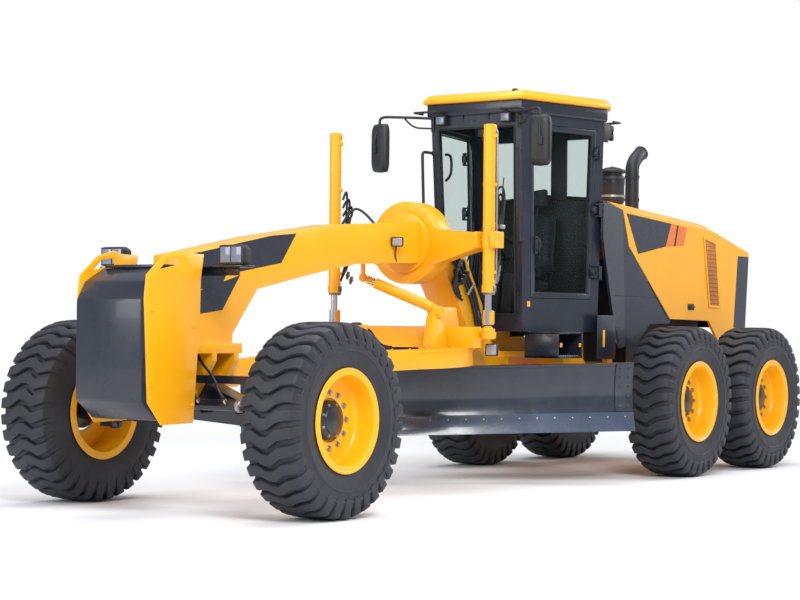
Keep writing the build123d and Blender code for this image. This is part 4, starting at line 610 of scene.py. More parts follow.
# ------------------------------------------------------------------ wheels
class Wheel:
    """Lugged tyre, rim, hub and nuts, modelled once about the origin with the outer side towards +Y."""

    LUGS, NUTS, CAP_BOLTS = 34, 12, 8
    RUN_RADIUS = 640.0              # where a lug's run round the tyre is measured
    CARCASS = (
        (317.8, 181), (382, 200), (392, 203), (455, 222), (468, 223), (472, 227), (482, 226), (486, 222), (540, 217),
        (546, 221), (556, 219), (560, 214), (590, 208), (625, 185), (636, 150), (636, -150), (625, -185), (590, -208),
        (560, -214), (545, -216), (455, -222), (392, -203), (382, -200), (317.8, -181),
    )
    # across the tyre from its outer side: offset, crown radius, run round the tyre, half width, foot radius
    LUG = (
        (222, 560, -8, 27, 520), (218, 615, -4, 31, 570), (208, 648, 0, 35, 592), (172, 664, 3, 37, 618),
        (105, 669, 15, 38, 628), (22, 669.5, 66, 38, 628), (-30, 669.5, 66, 38, 628), (-105, 669, 22, 38, 628),
        (-172, 664, 40, 37, 618), (-208, 648, 54, 35, 592), (-218, 615, 60, 31, 570), (-222, 560, 64, 27, 520),
    )
    RIM = (
        (303, -208), (352, -210), (360, -204), (356, -196), (318, -187), (317.5, 187), (356, 196), (361, 203),
        (356, 210), (345, 212), (338, 205), (330, 205), (322, 209), (312, 208), (306, 196), (303, 100), (296, 70),
        (285, 52), (240, 44), (150, 44), (150, 20), (285, 22), (303, 40),
    )
    HUB = ((0, 20), (136, 20), (136, 60), (129, 71), (96, 80), (92, 88), (62, 92), (56, 95), (0, 95))

    @classmethod
    def on_tread(cls, offset: float, radius: float, run: float) -> Vector:
        """Point on a cylinder about Y: offset outward, radius and run round it, all in millimetres."""
        turn = run / cls.RUN_RADIUS
        return Vector((radius * math.sin(turn), offset, radius * math.cos(turn))) * MM

    @classmethod
    def tyre(cls) -> Piece:
        """Models the carcass with its ring of lugs."""
        body = lathe(cls.CARCASS, Vector(), Y_AXIS, 102)
        lug = bevel(loft([[cls.on_tread(offset, foot, run - half - 6), cls.on_tread(offset, crown, run - half),
                           cls.on_tread(offset, crown, run + half), cls.on_tread(offset, foot, run + half + 6)]
                          for offset, crown, run, half, foot in cls.LUG]), 5.0, 2, 40.0)
        copies = [copy_at(lug, Matrix.Rotation(a, 4, "Y")) for a in circle(cls.LUGS)]
        bpy.data.objects.remove(lug)
        return merge(body, *copies)

    @classmethod
    def fasteners(cls) -> Piece:
        """Models the wheel nuts and the hub cap's small bolts."""
        nuts = [(Vector((190 * math.sin(a), 46, 190 * math.cos(a))) * MM, Y_AXIS) for a in circle(cls.NUTS)]
        small = [(Vector((111 * math.sin(a), 76, 111 * math.cos(a))) * MM,
                  (0.25 * math.sin(a), 1, 0.25 * math.cos(a))) for a in circle(cls.CAP_BOLTS, 0.5)]
        return merge(bolts(nuts, 15.0), bolts(small, 7.0))


def build_wheels() -> None:
    """Models one wheel and copies it to the six stations."""
    kit = (("tyre", TYRE, Wheel.tyre()),
           ("rim", RIM_YELLOW, bevel(lathe(Wheel.RIM, Vector(), Y_AXIS, 72), 1.5, 2, 40.0)),
           ("hub", HUB_BLACK, bevel(lathe(Wheel.HUB, Vector(), Y_AXIS, 40), 1.5, 2, 30.0)),
           ("nuts", BOLT, Wheel.fasteners()))
    for row, x, track in (("front", FRONT_X, 2220.0), ("middle", TANDEM_REACH, 2155.0),
                          ("rear", -TANDEM_REACH, 2155.0)):
        for word, s in SIDES:
            turn = Matrix.Rotation(0.0 if s > 0 else math.pi, 4, "Z")
            place = Matrix.Translation(st(x, s * track / 2, AXLE_Z)) @ turn
            for part, finish, model in kit:
                stands_for = (f"{part}_{row}_{word}",) if part in ("tyre", "rim") else ()
                settle(f"wheel_{row}_{word}_{part}", f"wheel_{row}_{word}_body", finish, copy_at(model, place),
                       smooth=38.0, replaces=stands_for)
    for *_, model in kit:
        bpy.data.objects.remove(model)


# ------------------------------------------------------------------ hood, stacks and cowl
@dataclass
class Hood(Assembly):
    """Stripes, louvres, handles, grille and tail lamps of the engine hood."""

    body: str = "hood_body"
    FILM = ((930, 2360), (0, 2310), (130, 2090), (710, 2000))
    STRIPES = (((-8, 2309), (-122, 2303), (-42, 2098), (118, 2090)),
               ((-172, 2300), (-350, 2288), (-262, 2112), (-92, 2101)))
    PINSTRIPE = ((-128, 2303), (-164, 2300), (-84, 2101), (-48, 2099))
    LOUVRE = ((-710, 2220), (-1000, 2170), (-1060, 1530), (-810, 1530))
    SLATS, LOWEST_SLAT, TOP_SLAT = 15, 1552, 2150
    LOUVRE_FOOT, LOUVRE_RISE = 1530, 640

    def build(self) -> None:
        """Builds everything on the hood."""
        for word, s in SIDES:
            look = (0, s, 0)
            self.add(f"hood_film_{word}", DECAL, panel("hood", self.FILM, look))
            self.add(f"hood_stripes_{word}", ORANGE, *[panel("hood", band, look) for band in self.STRIPES])
            self.add(f"hood_pinstripe_{word}", DECAL, panel("hood", self.PINSTRIPE, look))
            self.build_louvre(word, look)
            bar = pipe([(x, s * y, 1530) for x, y in ((-350, 598), (-350, 632), (-450, 632), (-450, 598))], 7.0)
            plate = panel("hood", ((-330, 1560), (-470, 1560), (-470, 1500), (-330, 1500)), look, 3.0)
            self.add(f"hood_handle_{word}", PLASTIC, bar, bevel(plate, 1.0))
        for word, s in SIDES:
            for name, finish, x, size, round_by in (("lamp", PLASTIC, -1842, (34, 120, 70), 8.0),
                                                    ("lens", RED_LENS, -1858, (10, 100, 52), 4.0)):
                self.add(f"tail_{name}_{word}", finish, block((x, s * 440, 2020), size, round_by, (0, -1, 0)))
        slats = [panel("rear_grille", ((y, z), (y + 400, z), (y + 400, z + 20), (y, z + 20)), (-1, 0, 0), 9.0)
                 for z in range(1440, 1992, 46) for y in (-430, 30)]
        self.add("rear_slats", CAST_BLACK, bevel(merge(*slats), 2.0, 1))

    def build_louvre(self, word: str, look: Point) -> None:
        """Builds one flank's louvre: its bed, frame and slats."""
        # bed and slats take the darker louvre finish, painted shade in the recess
        self.add(f"louvre_bed_{word}", LOUVRE, panel("hood", self.LOUVRE, look, 2.0))
        edge = merge(*[panel("hood", strip, look, 11.0) for strip in border(self.LOUVRE, shrunk(self.LOUVRE, 20.0))])
        self.add(f"louvre_frame_{word}", YELLOW, bevel(edge, 1.5))
        made = []
        for k in range(self.SLATS):
            low = self.LOWEST_SLAT + (k + 0.5) / self.SLATS * (self.TOP_SLAT - self.LOWEST_SLAT)
            lean = (low - self.LOUVRE_FOOT) / self.LOUVRE_RISE
            front, back = -810 + 92 * lean - 18, -1060 + 62 * lean + 18
            made.append(panel("hood", ((front, low), (back, low), (back, low + 15), (front, low + 15)), look, 8.0))
        self.add(f"louvre_slats_{word}", LOUVRE, bevel(merge(*made), 2.0, 1))


@dataclass
class Stacks(Assembly):
    """Exhaust pipe and air cleaner that stand on the hood."""

    body: str = "hood_body"

    def build(self) -> None:
        """Builds both stacks."""
        x, y = -160, 80
        path = [st(x + back, y, z) for back, z in ((0, 2425), (0, 2790), (0, 2885), (-70, 2965), (-150, 3010),
                                                   (-178, 3024))]
        way = (path[-1] - path[-2]).normalized()
        lip = lathe(((50, -4), (71, -4), (71, 10), (64, 14), (50, 14)), path[-1], way, 36)
        bands = [hoop(66, 73, 24, (x, y, z), steps=36) for z in (2548, 2768)]
        self.add("exhaust", CAST_BLACK, pipe(path, 66.0, sides=9), lip, *bands, replaces=("stacks",))
        # darker disc on the pipe's closed end: painted shade of the open bore, partly the soot-black of its inside
        self.add("exhaust_bore_shade", SEAL, lathe(((0, 1), (58, 1), (58, 4), (0, 4)), path[-1], way, 36))
        x, y = 200, 60
        bowl = lathe(((0, 0), (64, 0), (64, 50), (108, 78), (116, 96), (116, 300), (121, 304), (121, 318), (116, 322),
                      (112, 338), (96, 350), (96, 362), (128, 372), (131, 386), (118, 400), (62, 420), (16, 428),
                      (14, 432), (0, 434)), (x, y, 2425), Z_AXIS)
        self.add("air_cleaner", CAST_BLACK, bevel(bowl, 2.0, 2, 40.0))
        self.add("air_cleaner_band", HUB_BLACK, hoop(117, 120, 34, (x, y, 2690), steps=48))
        self.add("air_cleaner_strap", BOLT, hoop(115, 122, 22, (x, y, 2560), steps=48))


@dataclass
class RearBody(Assembly):
    """Cowl trim and the tandem cases' covers and bolts."""

    body: str = "rear_body"

    def build(self) -> None:
        """Builds both sides' trim and covers."""
        for word, s in SIDES:
            look = (0, s, 0)
            seam = panel("cowl", ((1280, 1612), (330, 1612), (330, 1604), (1280, 1604)), look, 1.2)
            self.add(f"cowl_seam_{word}", SEAL, seam)
            trim = panel("cowl", ((918, 2085), (868, 2030), (90, 1412), (90, 1396)), look, 4.0)
            self.add(f"cowl_trim_{word}", CHARCOAL, trim)
            body = f"tandem_{word}_body"
            cover = lathe(((0, 0), (150, 0), (150, 10), (140, 16), (60, 18), (54, 24), (0, 24)),
                          (0, s * 800, AXLE_Z), look, 40)
            settle(f"tandem_cover_{word}", body, YELLOW, bevel(cover, 2.0))
            spots = [((x + radius * math.sin(a), s * y, AXLE_Z + radius * math.cos(a)), look)
                     for x, y, radius, count in ((0, 812, 128, 10), (-TANDEM_REACH, 801, 150, 12),
                                                 (TANDEM_REACH, 801, 150, 12)) for a in circle(count)]
            settle(f"tandem_bolts_{word}", body, BOLT, bolts(spots, 11.0))


# ------------------------------------------------------------------ cab
WALL_TURN = 12.9                    # degrees that the cab's sides turn inwards


def front_x(z: float) -> float:
    """Station of the cab's front face at a height."""
    return 2420.0 + 100.0 * (z - CAB_FOOT) / CAB_RISE


def wall_y(x: float, z: float) -> float:
    """Outer face of the cab's side at a station and height, in front of the rear corner."""
    return 635.0 + 58.0 * (z - CAB_FOOT) / CAB_RISE - 210.0 / 920.0 * (x - 1500.0)


def on_wall(s: int, x: float, z: float, out: float) -> Point:
    """Point a distance outside the cab's side."""
    return x, s * (wall_y(x, z) + out), z


def firm_corners(points: Sequence[Place], radius: float = 26.0) -> list[Vector]:
    """Puts two points near each corner, so that a curve follows the straight sides."""
    points, made = [at(point) for point in points], []
    for k, here in enumerate(points):
        ways = [(points[j] - here).normalized() * radius * MM for j in (k - 1, (k + 1) % len(points))]
        made += [here + ways[0], here, here + ways[1]]
    return made


def round_box(half_y: float, half_z: float, x: float) -> list[Vector]:
    """Ring of twenty points round a soft rectangle across X, in metres from its middle."""
    def soft(value: float) -> float:
        """Pushes a share towards the rectangle's corner."""
        return math.copysign(abs(value) ** 0.38, value)

    return [Vector((x, half_y * soft(math.cos(a)), half_z * soft(math.sin(a)))) * MM for a in circle(20)]


@dataclass
class Cab(Assembly):
    """Roof, lamps, mirrors, rails, steps, doors, seals and inside of the operator's cab."""

    body: str = "rear_body"
    PLAN = ((2520, 460), (1500, 693), (1360, 600))
    SPREAD = ((1.0, 0.75), (-0.05, 1.03), (-1.0, 0.62))   # how each corner moves as the plan grows

    def outline(self, out: float, z: float) -> list[Point]:
        """Ring of the cab's plan, moved out by a distance, at a height."""
        half = [(x + out * mx, y + out * my, z) for (x, y), (mx, my) in zip(self.PLAN, self.SPREAD)]
        return half + [(x, -y, z) for x, y, z in reversed(half)]

    def build(self) -> None:
        """Builds the cab from the roof down."""
        self.build_roof()
        self.build_lamps()
        self.build_front()
        self.build_seat()
        self.build_levers()
        self.build_trim()
        for word, s in SIDES:
            self.build_mirror(word, s)
            self.build_rail(word, s)
            self.build_step(word, s)
            self.build_door(word, s)

    def build_roof(self) -> None:
        """Builds the eaves, the shallow cap turned over them and what hangs from them."""
        eave = loft([self.outline(*ring) for ring in ((24, 3138), (30, 3150), (30, 3246))], 4.0)
        self.add("cab_eaves", CHARCOAL, eave)
        cap = loft([self.outline(*ring) for ring in ((56, 3245), (64, 3256), (62, 3276), (26, 3318), (0, 3329))], 7.0)
        self.add("roof_cap", YELLOW, cap, replaces=("cab_roof",))
        knob = lathe(((0, 0), (26, 0), (26, 14), (20, 22), (0, 26)), (2520, 395, 3318), Z_AXIS, 24)
        self.add("roof_knob", PLASTIC, knob)
        rib = ((front_x(3080), 3080), (2546, 3160), (front_x(3150), 3160))
        self.add("eave_ribs", CHARCOAL, *[slab(1, rib, y - 8, y + 8, 2.0) for y in (-130, 130)])
        rails = [pipe([(x, s * y, z) for x, y in ((x0, y0), (x1, y0), (x1, y0), (x1, y1), (x1, y1), (x0, y1))], 10.0)
                 for s, x0, x1, y0, y1, z in ((-1, 2560, 2690, 300, 520, 3165), (1, 1330, 1210, 470, 690, 3150),
                                              (1, 2560, 2640, 330, 500, 3165))]
        self.add("eave_rails", PLASTIC, *rails)
        beacons = [lathe(((0, -26), (30, -26), (36, -10), (36, 12), (30, 16), (0, 16)), (1290, 650, z),
                         (-0.6, 0.8, 0), 20) for z in (3085, 3020)]
        plate = slab(1, ((1470, 3130), (1330, 3130), (1330, 3030), (1400, 2960), (1470, 2960)), 664, 672)
        self.add("rear_corner_lamps", PLASTIC, plate, *beacons)

    def build_lamps(self) -> None:
        """Builds the square work lamps under the eaves."""
        shells, lenses, forks = [], [], []
        for x, y, way in ((2552, 330, 1), (2552, -330, 1), (1324, 430, -1), (1324, -430, -1)):
            shells.append(block((x, y, 3100), (56, 100, 84), 7.0))
            lenses.append(block((x + way * 27, y, 3100), (8, 78, 64), 3.0))
            forks.append(block((x - way * 6, y, 3146), (26, 40, 16), 3.0))
        self.add("work_lamps", PLASTIC, *shells, *forks, replaces=("cab_lamps",))
        self.add("work_lamp_lenses", LENS, *lenses)

    def build_front(self) -> None:
        """Builds the front pane's seal and the two wipers."""
        pane = ((-358, 1424), (358, 1424), (388, 3026), (-388, 3026))
        seal = pipe(firm_corners([(front_x(z) + 2, y, z) for y, z in pane]), 9.0, True, 3)
        self.add("window_seals", SEAL, seal)
        for name, y0, y1, z0, z1 in (("upper", 60, 250, 2980, 2360), ("lower", -250, -60, 1475, 1995)):
            arm = pipe([(front_x(z0) + 16, y0, z0), (front_x(z1) + 22, y1, z1)], 6.0)
            blade = pipe([(front_x(z1 + d * 230) + 12, y1 + d * 30, z1 + d * 230) for d in (1, -1)], 5.0)
            motor = block((front_x(z0) + 12, y0, z0), (24, 60, 60), 6.0)
            self.add(f"wiper_{name}", SEAL, arm, blade, motor)

    def build_mirror(self, word: str, s: int) -> None:
        """Builds one mirror: rounded head, glass, tubes and pillar bracket."""
        turn = Matrix.Rotation(math.radians(s * 12.0), 4, "Z")
        middle = st(2800, s * 810, 2865)

        def near(x: float, y: float, z: float) -> Vector:
            """Point beside the head's middle, in its turned millimetres."""
            return middle + turn @ (Vector((x, y, z)) * MM)

        rings = [[middle + turn @ point for point in round_box(half_y, half_z, x)] for x, half_y, half_z in
                 ((-34, 88, 206), (-30, 95, 214), (8, 92, 210), (26, 78, 192), (36, 52, 160))]
        self.add(f"mirror_head_{word}", PLASTIC, loft(rings), smooth=50.0,
                 replaces=("steps_and_rails",) if s > 0 else ())
        glass = [middle + turn @ point for point in round_box(86, 202, -35.5)]
        self.add(f"mirror_glass_{word}", MIRROR, prism(glass, turn @ Vector((-0.002, 0, 0)), 0.0))
        arm = pipe([(front_x(3130) + 4, s * 440, 3128), (2620, s * 560, 3132), (2745, s * 705, 3134),
                    (2800, s * 800, 3134), (2806, s * 812, 3080), (2806, s * 812, 2985)], 12.0)
        brace = pipe([(front_x(3040) + 4, s * 440, 3040), (2560, s * 480, 3040), (2640, s * 585, 3045),
                      (2672, s * 640, 3130)], 8.0)
        plate = block((front_x(3085) + 6, s * 440, 3085), (14, 34, 150), 4.0, (0, 3, 0))
        clamp = block(near(44, s * 20, -10), (34, 46, 74), 6.0, (0, 0, s * 12))
        neck = pipe([(2806, s * 812, 3060), near(52, s * 16, 90), near(52, s * 18, 0)], 9.0)
        self.add(f"mirror_arm_{word}", PLASTIC, arm, brace, plate, clamp, neck)

    def build_rail(self, word: str, s: int) -> None:
        """Builds the handrail on one front pillar."""
        y = s * 436
        path = [(front_x(2825), y, 2825), (2560, s * 470, 2832), (2604, s * 492, 2832), (2602, s * 492, 2760),
                (2584, s * 490, 2400), (2572, s * 486, 2110), (2570, s * 484, 2050), (2540, s * 466, 2044),
                (front_x(2050), y, 2050)]
        feet = [lathe(((0, 0), (26, 0), (26, 6), (16, 9), (0, 9)), (front_x(z) + 1, y, z), X_AXIS, 20)
                for z in (2825, 2050)]
        self.add(f"handrail_{word}", PLASTIC, pipe(path, 13.0), *feet)

    def build_step(self, word: str, s: int) -> None:
        """Builds the open step box under one door, its treads and reflectors."""
        y0, y1 = s * 395, s * 725
        boards = ((1910, 2330, y1, 1262, 1279.5), (1910, 2330, y1, 1055, 1074), (1910, 1930, y1, 1060, 1275),
                  (2310, 2330, y1, 1060, 1275), (1920, 2320, y0 + s * 12, 1060, 1275))
        box = [slab(2, ((x0, y0), (x1, y0), (x1, y), (x0, y)), z0, z1, 2.0) for x0, x1, y, z0, z1 in boards]
        self.add(f"step_box_{word}", CHARCOAL, *box)
        teeth = [block((1960 + k * 40, s * (560 + row * 70), 1077), (22, 14, 8), 1.5, (0, 0, 45), (0.6, 0.6))
                 for k in range(9) for row in (-1, 0, 1, 2)]
        self.add(f"step_teeth_{word}", STEEL, *teeth)
        plates = [block((x, y1 + s * 3, 1168), (34, 6, 34), 1.5) for x in (1960, 2280)]
        self.add(f"step_reflectors_{word}", REFLECTOR, *plates)

    @staticmethod
    def build_door(word: str, s: int) -> None:
        """Builds one door: its slim frame, hinges, pane, seal, handle and lock."""
        body = f"door_{word}_body"
        outer = ((1601, 1571), (2329, 1571), (2414, 3049), (1601, 3049))
        inner = ((1644, 1614), (2289, 1614), (2369, 3006), (1644, 3006))
        rail = [prism([on_wall(s, x, z, 3) for x, z in strip], Vector((0, -s * 0.046, 0)))
                for strip in border(outer, inner)]
        for z in (1800, 2350, 2850):
            rail.append(hoop(9.5, 18, 88, (1596, s * 712, z - 44), steps=20))
            rail.append(block((1628, s * (wall_y(1628, z) + 712) / 2, z), (52, 44, 58)))
        settle(f"door_frame_{word}", body, CHARCOAL, *rail, replaces=(f"door_{word}",))
        pane = prism([on_wall(s, x, z, -19) for x, z in inner], Vector((0, -s * 0.006, 0)), 0.0)
        settle(f"door_pane_{word}", body, GLASS, pane, replaces=(f"door_glass_{word}",))
        seal = pipe(firm_corners([on_wall(s, x, z, -10) for x, z in inner]), 8.0, True, 3)
        settle(f"door_seal_{word}", body, SEAL, seal)
        x, z = 2296, 2020
        plate = block(on_wall(s, x, z, 7), (38, 10, 150), 4.0, (0, 0, s * -WALL_TURN))
        grip = pipe([(x, s * (wall_y(x, z) + out), z + up)
                     for out, up in ((8, 60), (46, 56), (46, -40), (8, -50))], 8.0)
        settle(f"door_handle_{word}", body, PLASTIC, plate, grip)

    def build_seat(self) -> None:
        """Builds the padded seat on its bellows, its shell and arm rests."""
        base = lathe(((0, 0), (150, 0), (150, 24), (120, 40), (138, 70), (116, 100), (138, 130), (116, 160),
                      (138, 190), (116, 220), (138, 250), (120, 280), (170, 292), (170, 306), (0, 306)),
                     (1800, 0, 1326), Z_AXIS, 32)
        self.add("seat_bellows", PLASTIC, base)
        for name, centre, size, tip, stands_for in (
            ("seat_cushion", (1824, 0, 1690), (470, 450, 100), -3, ("operator_seat",)),
            ("seat_back", (1600, 0, 2010), (100, 430, 600), -8, ()),
            ("head_rest", (1548, 0, 2470), (80, 300, 190), -8, ()),
        ):
            self.add(name, FABRIC, padded_block(centre, size, (0, tip, 0)), smooth=60.0, replaces=stands_for)
        shell = block((1545, 0, 2000), (24, 440, 620), 10.0, (0, -8, 0))
        posts = [pipe([(1574, y, 2280), (1554, y, 2420)], 7.0) for y in (-50, 50)]
        pan = block((1820, 0, 1636), (480, 460, 30), 10.0, (0, -3, 0))
        self.add("seat_shell", PLASTIC, shell, pan, *posts)
        self.add("arm_rests", PLASTIC, *[block((1800, s * 262, 1830), (330, 62, 46), 18.0) for _, s in SIDES])

    def build_levers(self) -> None:
        """Builds the two lever stands and their knobs."""
        sticks, knobs = [], []
        for _, s in SIDES:
            for k in range(4):
                foot, top = st(2270 - k * 42, s * 190, 1780), st(2210 - k * 42, s * (200 + 6 * k), 2010)
                sticks.append(pipe([foot, top], 5.0))
                knobs.append(lathe(((0, -4), (9, -4), (15, 8), (17, 22), (13, 34), (0, 38)), top, top - foot, 16))
            sticks.append(block((2222, s * 190, 1560), (190, 110, 440), 20.0, taper=(0.9, 0.8)))
        self.add("lever_stands", PLASTIC, *sticks)
        self.add("lever_knobs", CAST_BLACK, *knobs)

    def build_trim(self) -> None:
        """Builds reflectors, skirts and tags, the rear lining, the inner grab rail and the floor mat."""
        x = front_x(1516) - 74
        marks = [block(on_wall(s, x, 1516, 3), (34, 6, 46), 1.5, (0, 0, s * -WALL_TURN)) for _, s in SIDES]
        self.add("corner_reflectors", REFLECTOR, *marks)
        self.add("lower_skirts", CHARCOAL, *[block((1440, s * 696, 1237), (330, 8, 386), 3.0) for _, s in SIDES])
        self.add("skirt_tags", YELLOW, *[block((1490, s * 701, 1225), (34, 3, 150), 1.0) for _, s in SIDES])
        lining = block((1412, 0, 1890), (8, 1010, 1120), 3.0)
        posts = [block((1424, y, 2775), (34, 156, 640), 6.0) for y in (-193, 193)]
        self.add("rear_lining", SEAL, lining, *posts)
        grab = pipe([(2300, -452, 2830), (2240, -440, 2840), (2225, -436, 2760), (2235, -436, 2640),
                     (2300, -448, 2600)], 12.0)
        self.add("inner_grab", PLASTIC, grab)
        mat = slab(2, ((2370, -380), (2370, 380), (1560, 560), (1560, -560)), 1325.4, 1331, 1.0)
        self.add("floor_mat", SEAL, mat)


CLOTH_VOXEL, CLOTH_CAP = 0.012, 0.014       # mesh size and furthest move of a cushion's skin, in metres
CLOTH_PRESSURE, CLOTH_FRAMES = 4.0, 20


def swell(obj: Piece) -> None:
    """Swells a box by a cloth simulation under pressure, its moves kept short."""
    only(obj)
    obj.data.remesh_voxel_size = CLOTH_VOXEL
    bpy.ops.object.voxel_remesh()
    start = [vertex.co.copy() for vertex in obj.data.vertices]
    cloth = obj.modifiers.new("cloth", "CLOTH")
    cloth.settings.use_pressure = True
    cloth.settings.uniform_pressure_force = CLOTH_PRESSURE
    cloth.settings.effector_weights.gravity = 0.0
    cloth.point_cache.frame_start, cloth.point_cache.frame_end = 1, CLOTH_FRAMES
    for step in range(1, CLOTH_FRAMES + 1):
        bpy.context.scene.frame_set(step)
    shaped = obj.evaluated_get(bpy.context.evaluated_depsgraph_get())
    places = [vertex.co.copy() for vertex in shaped.data.vertices]
    obj.modifiers.remove(cloth)
    bpy.context.scene.frame_set(1)
    for vertex, old, new in zip(obj.data.vertices, start, places):
        move = new - old
        vertex.co = old + move * min(1.0, CLOTH_CAP / max(move.length, 1e-9))


def padded_block(centre: Place, size: Point, turn: Point) -> Piece:
    """Args:
        centre: its middle.
        size: length, width and height in millimetres.
        turn: turn in degrees.

    Returns:
        The cushion.
    """
    obj, quick = block(centre, [v - 16 for v in size], 22.0, turn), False
    if not quick:
        swell(obj)
    levels = 2 if quick else 1
    modify(obj, "SUBSURF", levels=levels, render_levels=levels)
    return obj


# ------------------------------------------------------------------ front frame and nose
@dataclass
class FrontFrame(Assembly):
    """Gooseneck films, nose, headlamps, saddle bolts, valve and the hoses on the leg."""

    body: str = "front_body"
    # outlines of the film on the gooseneck's side, each with its gap
    FILMS = (
        (((6446, 1790), (5524, 1966), (5208, 1996), (5385, 1771), (6446, 1600)), 0.2),
        (((6446, 1640), (5600, 1740), (5859, 1669), (6055, 1416), (6315, 1384), (6446, 1450)), 0.2),
        (((6446, 1650), (6120, 1660), (6010, 1560), (6446, 1560)), 0.1),
        (((6446, 1850), (6140, 1780), (5990, 1700), (6060, 1600), (6446, 1560)), 0.3),
    )

    def build(self) -> None:
        """Builds the front frame's dress."""
        plates = cad_copy("nose_plates")
        slots = slab(1, ((6898, 1680), (6821, 1748), (6707, 1766), (6683, 1722)), -420, 420, 0.0)
        modify(plates, "BOOLEAN", object=slots, solver="EXACT")
        bpy.data.objects.remove(slots, do_unlink=True)
        self.add("nose_plates_rounded", YELLOW, bevel(plates, 4.0, 2, 28.0), replaces=("nose_plates",))
        for node, width, finish in (("nose_block", 16.0, CHARCOAL), ("saddle", 5.0, YELLOW),
                                    ("front_frame", 5.0, YELLOW)):
            rounded(node, width, self.body, finish)
        for word, s in SIDES:
            films = [panel("front_frame", outline, (0, s, 0), lift=lift) for outline, lift in self.FILMS]
            self.add(f"beam_film_{word}", DECAL, *films)
            self.build_headlamp(word, s)
            self.build_beam_lamp(word, s)
            self.build_leg_hoses(word, s)
        self.build_nose()
        self.build_saddle()
        self.build_valve()

    def build_nose(self) -> None:
        """Builds the plates' bolts, the blank label on the leg and the slot cover between the plates."""
        for word, s in SIDES:
            spots = [((x, s * 311, z), (0, s, 0)) for x, z in ((6980, 900), (6980, 1400), (6550, 760), (6550, 1300))]
            self.add(f"nose_bolts_{word}", YELLOW, bolts(spots, 9.0))
        self.add("leg_label", PLASTIC, block((2706, 163, 1420), (96, 6, 72), 1.0, (0, -38, 0)))
        self.add("leg_label_blank", FOG, block((2706, 166.5, 1420), (52, 3, 56), 0.5, (0, -38, 0)))
        cover = slab(2, ((6600, -270), (6600, 270), (6820, 270), (6820, -270)), 1694, 1716, 6.0)
        self.add("nose_cover", DECAL, cover)

    def build_headlamp(self, word: str, s: int) -> None:
        """Builds one headlamp cluster on its wing."""
        x, y, z = 6440, s * 550, 1790
        corners = ((-1, -.7), (-.8, -1), (.8, -1), (1, -.7), (1, .7), (.8, 1), (-.8, 1), (-1, .7))
        shell = loft([[(x + back, y + dy * half_y, z + dz * half_z) for dy, dz in corners] for back, half_y, half_z in
                      ((6, 104, 69), (-50, 105, 70), (-96, 92, 58), (-122, 62, 36))], 5.0)
        rim = slab(0, [(y + dy, z + dz) for dy, dz in ((-104, -66), (104, -66), (104, 66), (-104, 66))],
                   x + 2, x + 10)
        self.add(f"headlamp_{word}", PLASTIC, shell, rim, replaces=("headlamps",) if s > 0 else ())
        eyes = [block((x + 10, y + off, z), (8, 86, 108), 3.0) for off in (-48, 48)]
        self.add(f"headlamp_lens_{word}", LENS, *eyes)
        wing = slab(2, [(x + dx, s * dy) for dx, dy in ((-200, 150), (-40, 150), (20, 655), (-130, 655))],
                    1706, 1718, 2.0)
        stay = slab(2, [(x + dx, s * dy) for dx, dy in ((-150, 150), (-130, 150), (-60, 560), (-80, 560))],
                    1650, 1708, 2.0)
        self.add(f"headlamp_wing_{word}", CHARCOAL, wing, stay)

    def build_beam_lamp(self, word: str, s: int) -> None:
        """Builds the small work lamp on the gooseneck's side."""
        x, y, z = 3956, s * 196, 1985
        turn = (0, 6, s * 32)
        shell = block((x, y, z), (52, 96, 76), 7.0, turn)
        lens = block((x + 24, y + s * 15, z - 2), (8, 78, 58), 3.0, turn)
        fork = block((x - 26, s * 166, z - 6), (34, 34, 30))
        lead = pipe([(x + dx, s * dy, z + dz) for dx, dy, dz in ((-20, 172, -34), (-6, 170, -74), (-30, 158, -120),
                                                                (-60, 146, -158))], 6.0)
        self.add(f"beam_lamp_{word}", PLASTIC, shell, fork, lead)
        self.add(f"beam_lamp_lens_{word}", FOG, lens)

    def build_saddle(self) -> None:
        """Builds the saddle's bolts, rings and webs, and the clevises' bolts."""
        spots = [((3486, 290 * math.cos(a), SADDLE_Z + 290 * math.sin(a)), X_AXIS) for a in circle(18, 0.5)]
        self.add("saddle_bolts", YELLOW, bolts(spots, 11.0))
        for name, inner, outer, deep in (("outer", 306, 333, 12), ("inner", 247, 268, 16)):
            ring = lathe(((inner, 0), (outer, 0), (outer, deep - 3), (outer - 3, deep), (inner + 3, deep),
                          (inner, deep - 3)), (3484, 0, SADDLE_Z), X_AXIS, 64)
            self.add(f"saddle_ring_{name}", YELLOW, ring)
        for word, s in SIDES:
            web = [(3345, s * y, z) for y, z in ((250, 1838), (660, 1938), (660, 1948), (250, 1870))]
            self.add(f"saddle_web_{word}", YELLOW, prism(web, Vector((0.15, 0, 0))))
            collar = [((3480, s * (LIFT_Y + dy), 2010 + dz), X_AXIS) for dy in (-74, 74) for dz in (46, -46)]
            self.add(f"clevis_bolts_{word}", BOLT, bolts(collar, 10.0))

